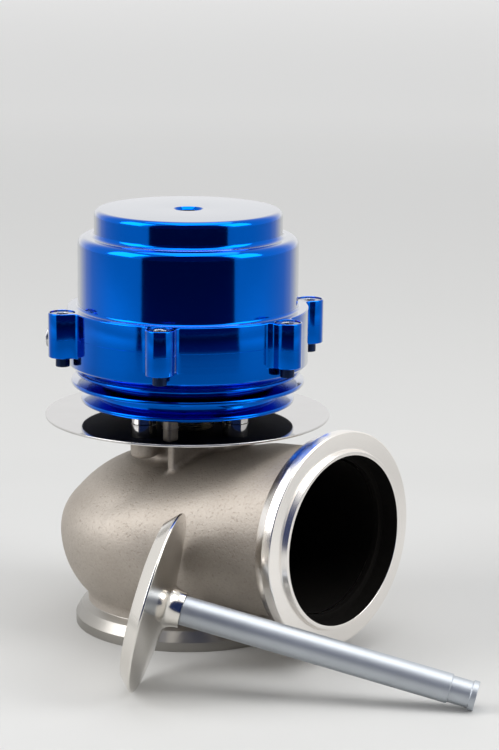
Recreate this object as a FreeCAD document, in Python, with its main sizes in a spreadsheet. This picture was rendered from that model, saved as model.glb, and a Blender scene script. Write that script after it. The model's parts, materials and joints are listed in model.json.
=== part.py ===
import FreeCAD, Part
import math
import os
import re

import Sketcher
from FreeCAD import Rotation, Vector

# External wastegate of the 60 mm class, standing on its inlet flange.
# The row frame has its origin at the centre of the inlet flange's face,
# +Z along the valve stem and +X out of the side outlet. Lengths are in
# millimetres and angles in degrees.

SIZES = [
    # Cast housing, inlet side
    ("inlet_rim_radius", 40.4, "outer radius of the inlet clamp flange"),
    ("inlet_rim_height", 3.4, "straight band of the inlet flange"),
    ("inlet_taper_height", 3.6, "clamp taper above the band"),
    ("inlet_taper_drop", 2.1, "radius lost over the clamp taper"),
    ("neck_radius", 35.9, "outer radius of the neck above the flange"),
    ("neck_blend", 1.8, "height of the slope from taper to neck"),
    ("pocket_shoulder", 6.8, "height where the seat ring's pocket ends"),
    ("pocket_step", 1.4, "radius by which the seat ring passes the bore above it"),
    # Cast housing, globe
    ("globe_radius", 45.9, "largest radius of the globe"),
    ("globe_height", 35.2, "height of the largest radius"),
    ("belly_arc", 31.9, "radius of the arc below the largest radius"),
    ("brow_arc", 17.7, "radius of the arc above the largest radius"),
    ("brow_angle", 47.7, "angle that the brow arc turns through"),
    ("crown_arc", 42.0, "radius of the flat arc over the crown"),
    ("crown_radius", 21.3, "radius where the crown arc ends"),
    ("crown_height", 61.5, "height of the crown"),
    ("housing_wall", 4.0, "wall of the casting"),
    # Cast housing, outlet side
    ("outlet_drop", 33.5, "depth of the outlet's axis below the deck"),
    ("outlet_face", 73.3, "distance of the outlet's lip from the stem axis"),
    ("outlet_bore_radius", 30.0, "bore at the outlet"),
    ("outlet_bore_depth", 6.6, "depth of that bore from the lip"),
    ("outlet_rim_radius", 38.1, "outer radius of the outlet clamp flange"),
    ("outlet_rim_width", 3.6, "straight band of the outlet flange"),
    ("outlet_taper_width", 4.0, "clamp taper behind the band"),
    ("outlet_taper_drop", 1.5, "radius lost over the clamp taper"),
    ("lip_width", 1.3, "flat end of the pilot lip"),
    ("lip_height", 2.0, "height of the pilot lip over the flange's face"),
    ("lip_slope", 0.6, "radius gained down the lip's side"),
    ("duct_end_radius", 31.3, "outer radius of the duct behind the flange"),
    ("shoulder_reach", 34.0, "distance of the duct's shoulder from the stem axis"),
    ("shoulder_half_width", 38.4, "half width of the duct at its shoulder"),
    ("shoulder_drop", 5.8, "depth of the duct's shoulder below the deck"),
    ("body_mid_height", 36.8, "height of that section's centre"),
    # Cast housing, top
    ("deck_height", 76.8, "height of the machined top faces"),
    ("guide_boss_radius", 14.5, "boss round the stem guide"),
    ("guide_boss_sink", 10.5, "length of that boss below the crown"),
    ("post_circle_radius", 23.0, "bolt circle of the four posts"),
    ("lug_radius", 5.0, "cast lug under each post"),
    ("lug_length", 11.8, "length of the lugs and their webs below the deck"),
    ("gusset_sink", 5.5, "length of the gusset below the crown"),
    ("web_thickness", 6.0, "web between a lug and the guide boss"),
    ("web_drop", 2.3, "depth of those webs' top below the deck"),
    ("gusset_offset", 12.2, "distance of the gusset from the stem axis along the outlet"),
    ("gusset_reach", 22.6, "reach of the gusset across the outlet"),
    ("gusset_thickness", 3.0, "thickness of the gusset"),
    ("stop_lug_lead", 2.3, "length by which the lug on the gusset passes it"),
    ("stop_lug_width", 4.0, "width of the lug on the gusset"),
    ("stop_lug_depth", 4.9, "depth of that lug along the gusset"),
    # Heat shield, posts and their bolts
    ("shield_radius", 51.2, "radius of the heat shield"),
    ("shield_thickness", 0.8, "thickness of the heat shield"),
    ("post_height", 4.9, "length of the spacer posts"),
    ("post_radius", 4.6, "outer radius of the spacer posts"),
    ("bolt_radius", 3.0, "M6 base bolt"),
    ("bolt_head_radius", 5.0, "head of the M6 bolt"),
    ("bolt_head_height", 6.0, "height of that head"),
    ("bolt_socket", 5.0, "hexagon of that head across flats"),
    ("bolt_engagement", 9.3, "length of thread in the lug"),
    ("bolt_pocket_depth", 6.5, "counterbore in the chamber's floor"),
    ("bolt_washer_thickness", 1.0, "washer under the head"),
    # Seat ring and valve
    ("seat_ring_radius", 33.4, "outer radius of the seat ring"),
    ("seat_ring_recess", 0.3, "ring's lower face above the flange's face"),
    ("seat_margin", 2.3, "radius by which the seat ring passes the valve's rim"),
    ("valve_margin", 0.65, "straight edge of the valve head"),
    ("valve_cone_height", 4.0, "height of the 45 degree seat cone"),
    ("valve_rim_height", 5.8, "height of the head's back edge when shut"),
    ("valve_dish_height", 3.6, "rise of the head's back to its neck"),
    ("valve_dish_radius", 8.6, "radius where the back meets the neck"),
    ("valve_collar_radius", 6.1, "collar round the stem's root"),
    ("valve_collar_height", 8.7, "top of the collar above the back edge"),
    ("valve_neck_arc", 7.5, "hollow arc between back and collar"),
    ("spigot_radius", 4.0, "end of the stem inside the head"),
    ("spigot_depth", 7.5, "length of that end"),
    ("stem_radius", 5.03, "stem"),
    ("stem_rise", 2.4, "stem's tip above the underside of the cup's plate"),
    ("stem_neck_radius", 4.55, "undercut that the collet grips"),
    ("stem_neck_start", 9.0, "lower end of the undercut below the tip"),
    ("stem_lip", 2.0, "full radius left at the tip"),
    ("lift", 14.0, "travel of the valve"),
    # Stem guide and seal
    ("guide_radius", 8.5, "outer radius of the stem guide"),
    ("guide_overhang", 2.5, "length of the stem guide below its boss"),
    ("guide_head_radius", 9.3, "head of the guide over the deck"),
    ("gland_radius", 9.0, "pocket of the stem seal"),
    ("gland_depth", 8.0, "depth of that pocket below the chamber's floor"),
    ("stem_passage", 5.6, "hole round the stem in the base"),
    ("seal_height", 3.0, "height of the stem seal"),
    ("seal_washer_thickness", 1.0, "washer over the seal"),
    ("circlip_thickness", 1.2, "circlip that holds the seal"),
    ("circlip_bite", 0.8, "depth of the circlip's groove"),
    ("circlip_width", 2.6, "radial width of the circlip"),
    ("circlip_gap", 6.0, "opening of the circlip"),
    ("circlip_bearing", 45.0, "bearing of that opening"),
    # Actuator base
    ("base_plate_radius", 38.35, "lowest fin"),
    ("fin_thickness", 1.4, "thickness of the lower fins"),
    ("fin_radius", 41.9, "middle fin"),
    ("fin_height", 5.1, "underside of the middle fin over the lowest one"),
    ("thin_fin_radius", 40.3, "thin fin under the ring"),
    ("thin_fin_height", 2.6, "underside of the thin fin over the middle one"),
    ("thin_fin_thickness", 1.0, "thickness of the thin fin"),
    ("fin_root_radius", 33.5, "bottom of the cooling grooves"),
    ("fin_root_slope", 1.4, "height gained from a fin's edge to its root"),
    ("ring_groove", 0.9, "groove between thin fin and clamping ring"),
    ("ring_radius", 43.2, "outer radius of the clamping ring"),
    ("ring_bevel", 2.0, "bevel at the ring's lower edge"),
    ("chamber_rise", 3.1, "pressure chamber's floor over the ring's underside"),
    ("parting_height", 12.8, "joint of base and cover over the ring's underside"),
    ("ear_circle_radius", 46.5, "bolt circle of the six cover screws"),
    ("ear_radius", 5.1, "rounded ear round each screw"),
    ("ear_depth", 6.9, "length of the base's ears below the joint"),
    ("ear_blend", 2.2, "fillet between ear and ring"),
    ("port_bearing", 210.0, "bearing of the side port from the outlet"),
    ("port_drop", 4.8, "depth of the side port's axis below the joint"),
    ("port_boss_radius", 4.4, "boss of the side port"),
    ("port_face", 48.6, "distance of its face from the stem axis"),
    ("port_radius", 2.6, "hole of the side port"),
    ("plug_head_radius", 3.6, "head of the port's plug"),
    ("plug_head_height", 2.6, "height of that head"),
    ("plug_length", 7.0, "shank of the plug"),
    ("plug_socket", 3.0, "hexagon of the plug across flats"),
    ("plug_seal_thickness", 0.6, "sealing washer under the plug"),
    # Actuator cover
    ("can_radius", 39.45, "outer radius of the cover's can"),
    ("can_wall", 3.05, "wall of the cover"),
    ("ring_height", 9.1, "height of the cover's ring and ears over the joint"),
    ("shoulder_height", 25.4, "height of the can's shoulder over the ring"),
    ("boss_radius", 33.6, "raised centre of the cover"),
    ("boss_height", 9.5, "height of that centre over the shoulder"),
    ("roof", 3.2, "thickness of roof and shoulder"),
    ("top_edge_round", 2.2, "round of the raised centre's edge"),
    ("boss_foot_round", 1.6, "hollow round at its foot"),
    ("shoulder_round", 3.0, "round of the can's shoulder"),
    ("can_foot_round", 0.9, "hollow round where can meets ring"),
    ("ring_edge_round", 0.5, "round of the ring's upper edge"),
    ("top_port_radius", 4.4, "threaded port in the cover"),
    ("top_port_chamfer", 1.0, "chamfer of that port"),
    ("screw_radius", 2.5, "M5 cover screw"),
    ("screw_head_radius", 4.2, "head of the cover screw"),
    ("screw_head_height", 5.0, "height of that head"),
    ("screw_socket", 4.0, "hexagon of that head across flats"),
    ("screw_length", 14.0, "length of the screw below its head"),
    ("screw_pocket_depth", 5.4, "counterbore in the ear"),
    # Diaphragm and piston
    ("diaphragm_thickness", 1.2, "rubber diaphragm"),
    ("bead_radius", 40.6, "outer radius of the clamped bead"),
    ("piston_radius", 32.5, "piston cup"),
    ("piston_height", 6.0, "underside of the cup's plate over the joint when shut"),
    ("piston_plate", 2.5, "plate of the cup"),
    ("piston_rim_height", 4.3, "rim of the cup over its plate"),
    ("piston_rim_wall", 1.9, "wall of that rim"),
    ("hub_radius", 12.0, "hub of the piston cup"),
    ("hub_depth", 8.2, "length of the hub below the cup's plate"),
    ("hub_rise", 4.8, "length of the hub above the plate's underside"),
    ("collet_radius", 8.45, "split collet in the hub"),
    ("collet_slit", 0.8, "slit between the collet's halves"),
    ("cap_socket", 8.0, "hexagon of the collet cap across flats"),
    ("lower_plate_radius", 32.0, "plate under the diaphragm"),
    ("lower_plate_thickness", 3.0, "thickness of that plate"),
    ("nut_across_flats", 30.0, "clamp nut under the lower plate"),
    ("nut_height", 3.5, "height of the clamp nut"),
    # Springs
    ("outer_coil_radius", 27.4, "mean radius of the outer spring"),
    ("outer_wire", 4.0, "wire of the outer spring"),
    ("outer_turns", 4.0, "turns of the outer spring"),
    ("inner_coil_radius", 18.0, "mean radius of the inner spring"),
    ("inner_wire", 3.0, "wire of the inner spring"),
    ("inner_turns", 5.0, "turns of the inner spring"),
    # Loose valve beside the housing
    ("spare_distance", 80.2, "its contact with the table from the stem axis"),
    ("spare_contact_bearing", -60.0, "bearing of that contact"),
    ("spare_axis_bearing", 30.6, "direction in which its stem points"),
    # Clearances
    ("running_gap", 0.05, "radial clearance of stem in guide and seal"),
    ("seat_gap", 0.15, "radial gap between shut valve and seat"),
    ("press_gap", 0.02, "radial gap of pieces pressed together"),
    ("screw_gap", 0.05, "radial gap of a thread"),
    ("hole_gap", 0.3, "radial gap of a clearance hole"),
    ("socket_depth", 2.5, "depth of the hexagon sockets"),
    ("overcut", 1.0, "length by which a cutting tool passes the piece"),
]

# Values that follow from the driving sizes.
DERIVED = {
    "outlet_height": "deck_height - outlet_drop",
    "guide_boss_bottom": "crown_height - guide_boss_sink",
    "guide_bottom": "guide_boss_bottom - guide_overhang",
    "gusset_root": "crown_height - gusset_sink",
    "stop_lug_end": "gusset_reach + stop_lug_lead",
    "body_half_height": "crown_height - body_mid_height",
    "duct_bottom": "body_mid_height - body_half_height",
    "shoulder_half_height": "(deck_height - shoulder_drop - duct_bottom) / 2",
    "lug_bottom": "deck_height - lug_length",
    "web_top": "deck_height - web_drop",
    "rim_drop_radius": "inlet_rim_radius - inlet_taper_drop",
    "taper_top": "inlet_rim_height + inlet_taper_height",
    "neck_bore_radius": "seat_ring_radius - pocket_step",
    "valve_rim_radius": "seat_ring_radius - seat_margin",
    "arc_centre": "globe_radius - belly_arc",
    "brow_centre": "globe_radius - brow_arc",
    "belly_start": "globe_height - sqrt(belly_arc^2 - (neck_radius - arc_centre)^2)",
    "inner_belly_arc": "belly_arc - housing_wall",
    "inner_belly_start": "globe_height - sqrt(inner_belly_arc^2 - (neck_bore_radius - arc_centre)^2)",
    "inner_brow_arc": "brow_arc - housing_wall",
    "flange_face": "outlet_face - lip_height",
    "outlet_band_end": "flange_face - outlet_rim_width",
    "outlet_taper_end": "outlet_band_end - outlet_taper_width",
    "duct_end": "outlet_face - outlet_bore_depth",
    "shield_top": "deck_height + shield_thickness",
    "base_bottom": "shield_top + post_height",
    "fin_bottom": "base_bottom + fin_thickness + fin_height",
    "thin_fin_bottom": "fin_bottom + fin_thickness + thin_fin_height",
    "ring_bottom": "thin_fin_bottom + thin_fin_thickness + ring_groove",
    "chamber_floor": "ring_bottom + chamber_rise",
    "joint": "ring_bottom + parting_height",
    "ear_bottom": "joint - ear_depth",
    "port_height": "joint - port_drop",
    "ring_top": "joint + ring_height",
    "shoulder": "ring_top + shoulder_height",
    "cover_top": "shoulder + boss_height",
    "piston_level": "joint + piston_height",
    "hub_bottom": "piston_level - hub_depth",
    "hub_top": "piston_level + hub_rise",
    "bolt_seat": "chamber_floor - bolt_pocket_depth",
    "bolt_head_bottom": "bolt_seat + bolt_washer_thickness",
    "bolt_tip": "deck_height - bolt_engagement",
    "valve_face_height": "valve_rim_height - valve_margin - valve_cone_height",
    "valve_face_radius": "valve_rim_radius - valve_cone_height",
    "throat_radius": "valve_face_radius - 2 * running_gap",
    "seat_cone_start": "valve_face_height - 2 * running_gap - seat_gap",
    "stem_tip": "piston_level + stem_rise",
    "stem_reach": "stem_tip - valve_rim_height",
    "stem_foot": "valve_rim_height + valve_collar_height",
    "neck_low": "stem_tip - stem_neck_start",
    "neck_high": "stem_tip - stem_lip",
    "gland_floor": "chamber_floor - gland_depth",
    "seal_top": "gland_floor + seal_height",
    "seal_washer_top": "seal_top + seal_washer_thickness",
    "chamber_radius": "can_radius - can_wall",
    "bead_bottom": "joint - diaphragm_thickness",
    "screw_seat": "ring_top - screw_pocket_depth",
    "screw_tip": "screw_seat - screw_length",
    "ceiling": "cover_top - roof",
    "inner_shoulder": "shoulder - roof",
    "inner_boss_radius": "boss_radius - can_wall",
    "piston_floor": "piston_level + piston_plate",
    "diaphragm_bottom": "piston_level - diaphragm_thickness",
    "lower_plate_bottom": "diaphragm_bottom - lower_plate_thickness",
}

SAME = 1e-3  # places nearer than this are one place
ALIASES = {alias for alias, _, _ in SIZES}
WORD = re.compile(r"[a-z][a-z_]*")

doc = FreeCAD.newDocument("wastegate")
sheet = doc.addObject("Spreadsheet::Sheet", "sizes")
for row, (alias, value, note) in enumerate(SIZES, start=1):
    sheet.set(f"A{row}", alias)
    sheet.set(f"B{row}", str(value))
    sheet.set(f"C{row}", note)
    sheet.setAlias(f"B{row}", alias)
doc.recompute()


def ex(text):
    """The expression with every named size written out as a cell of the sheet."""
    def spell(match):
        word = match.group(0)
        if word in DERIVED:
            return "(" + ex(DERIVED[word]) + ")"
        return "sizes." + word if word in ALIASES else word
    return WORD.sub(spell, str(text))


def val(text):
    """The expression's present value."""
    return float(sheet.evalExpression(ex(text)))


def add(kind, name, links=None, **sizes):
    """A document object with its sizes bound to expressions and its links set."""
    made = doc.addObject(kind, name)
    for prop, linked in (links or {}).items():
        setattr(made, prop, linked)
    for prop, expression in sizes.items():
        made.setExpression(prop, ex(expression))
    return made


def place(made, x="0", y="0", z="0", turn=None, axis=(0, 0, 1)):
    """Bind an object's position, and its angle about an axis."""
    for letter, expression in zip("xyz", (x, y, z)):
        made.setExpression(f"Placement.Base.{letter}", ex(expression))
    if turn is not None:
        made.Placement.Rotation = Rotation(Vector(*axis), val(turn))
        made.setExpression("Placement.Rotation.Angle", ex(turn))
    return made


def cylinder(name, radius, bottom, top, reach="0", bearing="0"):
    """An upright cylinder at a reach and bearing from the stem axis."""
    made = add("Part::Cylinder", name, Radius=radius, Height=f"({top}) - ({bottom})")
    return place(made, f"({reach}) * cos({bearing})", f"({reach}) * sin({bearing})", bottom)


def block(name, near, far, width, bottom, top, bearing="0", aside="0"):
    """An upright box that runs outwards along a bearing, shifted aside to its left."""
    made = add("Part::Box", name, Length=f"({far}) - ({near})", Width=width,
               Height=f"({top}) - ({bottom})")
    shift = f"({aside}) - ({width}) / 2"
    return place(made, f"({near}) * cos({bearing}) - ({shift}) * sin({bearing})",
                 f"({near}) * sin({bearing}) + ({shift}) * cos({bearing})", bottom, bearing)


def hexagon(name, across_flats, bottom, top, reach="0", bearing="0"):
    """An upright hexagonal prism."""
    made = add("Part::Prism", name, Circumradius=f"({across_flats}) / sqrt(3)",
               Height=f"({top}) - ({bottom})")
    made.Polygon = 6
    return place(made, f"({reach}) * cos({bearing})", f"({reach}) * sin({bearing})", bottom)


def fuse(name, pieces, refine=True):
    made = add("Part::MultiFuse", name, {"Shapes": pieces})
    made.Refine = refine
    return made


def cut(name, base, tools):
    tool = tools[0] if len(tools) == 1 else fuse(name + "_tools", tools, refine=False)
    return add("Part::Cut", name, {"Base": base, "Tool": tool})


def group(name, pieces):
    """Separate solids that share one node."""
    return add("Part::Compound", name, {"Links": pieces})


def arc_between(start, end, radius, left):
    """Circle through two points whose centre lies left or right of the way between them."""
    chord = end - start
    half = chord.Length / 2
    side = Vector(-chord.y, chord.x, 0).normalize() * (1 if left else -1)
    return start + chord / 2 + side * math.sqrt(max(radius ** 2 - half ** 2, 0.0))


def outline_sketch(body, points):
    """A closed outline of (radius, height) points, each bound to the sheet.

    A point may carry an arc's radius and the side of its centre for the
    stretch that leads to it.
    """
    plane = [o for o in body.Origin.OriginFeatures if o.Role == "XZ_Plane"][0]
    sketch = body.newObject("Sketcher::SketchObject", body.Name + "_outline")
    sketch.AttachmentSupport = (plane, [""])
    sketch.MapMode = "FlatFace"
    spots = [Vector(val(p[0]), val(p[1]), 0) for p in points]
    ends = []
    for index, point in enumerate(points):
        start, end = spots[index - 1], spots[index]
        if len(point) == 2:
            ends.append((sketch.addGeometry(Part.LineSegment(start, end)), 1, 2))
            continue
        radius, left = val(point[2]), point[3] == "left"
        centre = arc_between(start, end, radius, left)
        first, last = (start, end) if left else (end, start)
        angles = [math.atan2(v.y - centre.y, v.x - centre.x) for v in (first, last)]
        circle = Part.Circle(centre, Vector(0, 0, 1), radius)
        geometry = sketch.addGeometry(Part.ArcOfCircle(circle, angles[0], angles[1]))
        ends.append((geometry, 1, 2) if left else (geometry, 2, 1))
        number = sketch.addConstraint(Sketcher.Constraint("Radius", geometry, radius))
        sketch.setExpression(f"Constraints[{number}]", ex(point[2]))
    for index, point in enumerate(points):
        line, _, tail = ends[index]
        following, head, _ = ends[(index + 1) % len(points)]
        sketch.addConstraint(Sketcher.Constraint("Coincident", line, tail, following, head))
        for kind, axis, expression in (("DistanceX", -2, point[0]), ("DistanceY", -1, point[1])):
            size = val(expression)
            if expression == "0":
                sketch.addConstraint(Sketcher.Constraint("PointOnObject", line, tail, axis))
                continue
            number = sketch.addConstraint(Sketcher.Constraint(kind, -1, 1, line, tail, size))
            sketch.setExpression(f"Constraints[{number}]", ex(expression))
    return sketch


def turned(name, points, rounds=()):
    """A body turned about Z, with rounds given as (radius, height, round) of their edges."""
    body = doc.addObject("PartDesign::Body", name)
    sketch = outline_sketch(body, points)
    feature = body.newObject("PartDesign::Revolution", name + "_turned")
    feature.Profile = sketch
    feature.ReferenceAxis = (sketch, ["V_Axis"])
    feature.Angle = 360
    body.Tip = feature
    doc.recompute()
    for number, (radius, height, size) in enumerate(rounds):
        edge = ring_edge(feature.Shape, val(radius), val(height))
        rounded = body.newObject("PartDesign::Fillet", f"{name}_round_{number}")
        rounded.Base = (feature, [edge])
        rounded.setExpression("Radius", ex(size))
        body.Tip = feature = rounded
        doc.recompute()
    return body


def ring_edge(shape, radius, height):
    """Name of the circular edge about Z with this radius and height."""
    for number, edge in enumerate(shape.Edges, start=1):
        curve = edge.Curve
        if isinstance(curve, Part.Circle) and abs(curve.Radius - radius) < SAME \
                and abs(curve.Center.z - height) < SAME:
            return f"Edge{number}"
    raise ValueError(f"no edge of radius {radius} at height {height}")


def node(made, name):
    """Mark an object as the finished sub-part of that name."""
    made.Label = name
    NODES.append(made)
    return made


NODES = []
BEARINGS_4 = ["0", "90", "180", "270"]
BEARINGS_6 = ["0", "60", "120", "180", "240", "300"]
GUSSET_BEARING = "270"


# Housing

def along_outlet(made):
    """Turn a body from Z to the outlet's axis."""
    return place(made, "0", "0", "outlet_height", "90", (0, 1, 0))


def oval(name, half_width, half_height, reach, height):
    """An upright ellipse across the outlet's direction."""
    made = add("Part::Ellipse", name, MajorRadius=half_width, MinorRadius=half_height)
    made.Placement.Rotation = Rotation(Vector(1, 1, 1), 120)
    return place(made, reach, "0", height)


def duct(name, wall):
    """Loft from an oval at the stem axis over a shoulder to the outlet, drawn in by a wall."""
    root = oval(name + "_root", f"globe_radius - ({wall})", f"body_half_height - ({wall})", "0",
                "body_mid_height")
    shoulder = oval(name + "_shoulder", f"shoulder_half_width - ({wall})",
                    f"shoulder_half_height - ({wall})", "shoulder_reach",
                    "duct_bottom + shoulder_half_height")
    end = oval(name + "_end", f"duct_end_radius - ({wall})", f"duct_end_radius - ({wall})",
               "duct_end", "outlet_height")
    return add("Part::Loft", name, {"Sections": [root, shoulder, end], "Solid": True, "Ruled": True})


def globe():
    brow = "brow_arc * cos(brow_angle)", "brow_arc * sin(brow_angle)"
    return turned("globe", [
        ("0", "0"),
        ("inlet_rim_radius", "0"),
        ("inlet_rim_radius", "inlet_rim_height"),
        ("rim_drop_radius", "taper_top"),
        ("neck_radius", "taper_top + neck_blend"),
        ("neck_radius", "belly_start"),
        ("globe_radius", "globe_height", "belly_arc", "left"),
        (f"brow_centre + {brow[0]}", f"globe_height + {brow[1]}", "brow_arc", "left"),
        ("crown_radius", "crown_height", "crown_arc", "left"),
        ("0", "crown_height"),
    ])


def globe_void():
    brow = "inner_brow_arc * cos(brow_angle)", "inner_brow_arc * sin(brow_angle)"
    return turned("globe_void", [
        ("0", "0"),
        ("seat_ring_radius + press_gap", "0"),
        ("seat_ring_radius + press_gap", "pocket_shoulder"),
        ("neck_bore_radius", "pocket_shoulder"),
        ("neck_bore_radius", "inner_belly_start"),
        ("globe_radius - housing_wall", "globe_height", "inner_belly_arc", "left"),
        (f"brow_centre + {brow[0]}", f"globe_height + {brow[1]}", "inner_brow_arc", "left"),
        ("crown_radius", "crown_height - housing_wall", "crown_arc - housing_wall", "left"),
        ("0", "crown_height - housing_wall"),
    ])


def outlet_flange():
    lip = "outlet_bore_radius + lip_width"
    return along_outlet(turned("outlet_flange", [
        ("0", "outlet_taper_end"),
        ("outlet_rim_radius - outlet_taper_drop", "outlet_taper_end"),
        ("outlet_rim_radius", "outlet_band_end"),
        ("outlet_rim_radius", "flange_face"),
        (f"{lip} + lip_slope", "flange_face"),
        (lip, "outlet_face"),
        ("0", "outlet_face"),
    ], [("outlet_rim_radius", "flange_face", "ring_edge_round")]))


def valve_housing():
    outside = [globe(), outlet_flange(), duct("duct", "0")]
    for number, bearing in enumerate(BEARINGS_4):
        outside.append(cylinder(f"lug_{number}", "lug_radius", "lug_bottom", "deck_height",
                                "post_circle_radius", bearing))
        outside.append(block(f"web_{number}", "0", "post_circle_radius", "web_thickness",
                             "lug_bottom", "web_top", bearing))
    outside.append(block("gusset", "0", "gusset_reach", "gusset_thickness", "gusset_root",
                         "deck_height", GUSSET_BEARING, "gusset_offset"))
    outside.append(block("stop_lug", "stop_lug_end - stop_lug_depth", "stop_lug_end",
                         "stop_lug_width", "web_top", "base_bottom", GUSSET_BEARING,
                         "gusset_offset"))
    bore = along_outlet(turned("outlet_bore", [
        ("0", "duct_end"),
        ("outlet_bore_radius", "duct_end"),
        ("outlet_bore_radius", "outlet_face + lip_height"),
        ("0", "outlet_face + lip_height"),
    ]))
    shell = cut("shell", fuse("casting", outside),
                [globe_void(), duct("duct_void", "housing_wall"), bore])
    boss = cylinder("guide_boss", "guide_boss_radius", "guide_boss_bottom", "deck_height")
    holes = [cylinder("guide_bore", "guide_radius + press_gap", "globe_height", "base_bottom")]
    for number, bearing in enumerate(BEARINGS_4):
        holes.append(cylinder(f"lug_hole_{number}", "bolt_radius + screw_gap",
                              "bolt_tip - hole_gap", "base_bottom", "post_circle_radius", bearing))
    return node(cut("housing_cut", fuse("bossed_shell", [shell, boss]), holes), "valve_housing")


def seat_ring():
    cone_top = "neck_bore_radius - press_gap"
    return node(turned("seat_ring_body", [
        ("throat_radius", "seat_ring_recess"),
        ("seat_ring_radius", "seat_ring_recess"),
        ("seat_ring_radius", "pocket_shoulder"),
        (cone_top, "pocket_shoulder"),
        (cone_top, f"seat_cone_start + {cone_top} - throat_radius"),
        ("throat_radius", "seat_cone_start"),
    ]), "seat_ring")


def stem_guide():
    return node(turned("stem_guide_body", [
        ("stem_radius + running_gap", "guide_bottom"),
        ("guide_radius", "guide_bottom"),
        ("guide_radius", "deck_height"),
        ("guide_head_radius", "deck_height"),
        ("guide_head_radius", "base_bottom"),
        ("stem_radius + running_gap", "base_bottom"),
    ]), "stem_guide")


def heat_shield():
    disc = cylinder("shield_disc", "shield_radius", "deck_height", "shield_top")
    holes = [cylinder("shield_centre_hole", "guide_head_radius + hole_gap", "web_top", "base_bottom")]
    for number, bearing in enumerate(BEARINGS_4):
        holes.append(cylinder(f"shield_hole_{number}", "bolt_radius + hole_gap", "web_top",
                              "base_bottom", "post_circle_radius", bearing))
    holes.append(block("shield_slot", "stop_lug_end - stop_lug_depth - hole_gap",
                       "stop_lug_end + hole_gap", "stop_lug_width + 2 * hole_gap", "web_top",
                       "base_bottom", GUSSET_BEARING, "gusset_offset"))
    return node(cut("shield_cut", disc, holes), "heat_shield")


# Posts and bolts between housing and actuator

def tube_ring(name, outer, inner, bottom, top, reach, bearings):
    """A set of equal sleeves on a bolt circle."""
    pieces = []
    for number, bearing in enumerate(bearings):
        body = cylinder(f"{name}_outside_{number}", outer, bottom, top, reach, bearing)
        bore = cylinder(f"{name}_inside_{number}", inner, f"{bottom} - hole_gap",
                        f"{top} + hole_gap", reach, bearing)
        pieces.append(cut(f"{name}_{number}", body, [bore]))
    return group(name + "_set", pieces)


def socket_screws(name, shank, head, head_height, socket, tip, seat, reach, bearings):
    """A set of equal socket head screws on a bolt circle."""
    pieces = []
    for number, bearing in enumerate(bearings):
        rod = cylinder(f"{name}_shank_{number}", shank, tip, f"{seat} + {head_height} / 2", reach,
                       bearing)
        cap = cylinder(f"{name}_head_{number}", head, seat, f"{seat} + {head_height}", reach,
                       bearing)
        hexagonal = hexagon(f"{name}_socket_{number}", socket,
                            f"{seat} + {head_height} - socket_depth",
                            f"{seat} + {head_height} + hole_gap", reach, bearing)
        pieces.append(cut(f"{name}_{number}", fuse(f"{name}_blank_{number}", [rod, cap]),
                          [hexagonal]))
    return group(name + "_set", pieces)


def posts_and_bolts():
    node(tube_ring("post", "post_radius", "bolt_radius + hole_gap", "shield_top", "base_bottom",
                   "post_circle_radius", BEARINGS_4), "spacer_posts")
    node(tube_ring("bolt_washer", "bolt_head_radius + hole_gap", "bolt_radius + screw_gap",
                   "bolt_seat", "bolt_head_bottom", "post_circle_radius", BEARINGS_4),
         "bolt_washers")
    node(socket_screws("base_bolt", "bolt_radius", "bolt_head_radius", "bolt_head_height",
                       "bolt_socket", "bolt_tip", "bolt_head_bottom", "post_circle_radius",
                       BEARINGS_4), "base_bolts")


# Actuator shells

def ears(name, bottom, top):
    """The six screw ears of one half of the actuator."""
    pieces = []
    for number, bearing in enumerate(BEARINGS_6):
        pieces.append(cylinder(f"{name}_ear_{number}", "ear_radius", bottom, top,
                               "ear_circle_radius", bearing))
        pieces.append(block(f"{name}_ear_root_{number}", "bead_radius", "ear_circle_radius",
                            "2 * ear_radius", bottom, top, bearing))
    return pieces


def blend_ears(name, eared, bottom, top):
    """Fillet the upright edges where the ears leave the ring."""
    doc.recompute()
    low, high, size = val(bottom), val(top), val("ear_blend")
    picked = []
    for number, edge in enumerate(eared.Shape.Edges, start=1):
        ends = [v.Point for v in edge.Vertexes]
        if len(ends) != 2 or not isinstance(edge.Curve, Part.Line):
            continue
        upright = math.hypot(ends[0].x - ends[1].x, ends[0].y - ends[1].y) < SAME
        on_ring = abs(math.hypot(ends[0].x, ends[0].y) - val("ring_radius")) < SAME
        heights = sorted(p.z for p in ends)
        if upright and on_ring and heights[0] > low - SAME and heights[1] < high + SAME:
            picked.append((number, size, size))
    rounded = add("Part::Fillet", name, {"Base": eared})
    rounded.Edges = picked
    return rounded


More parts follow.
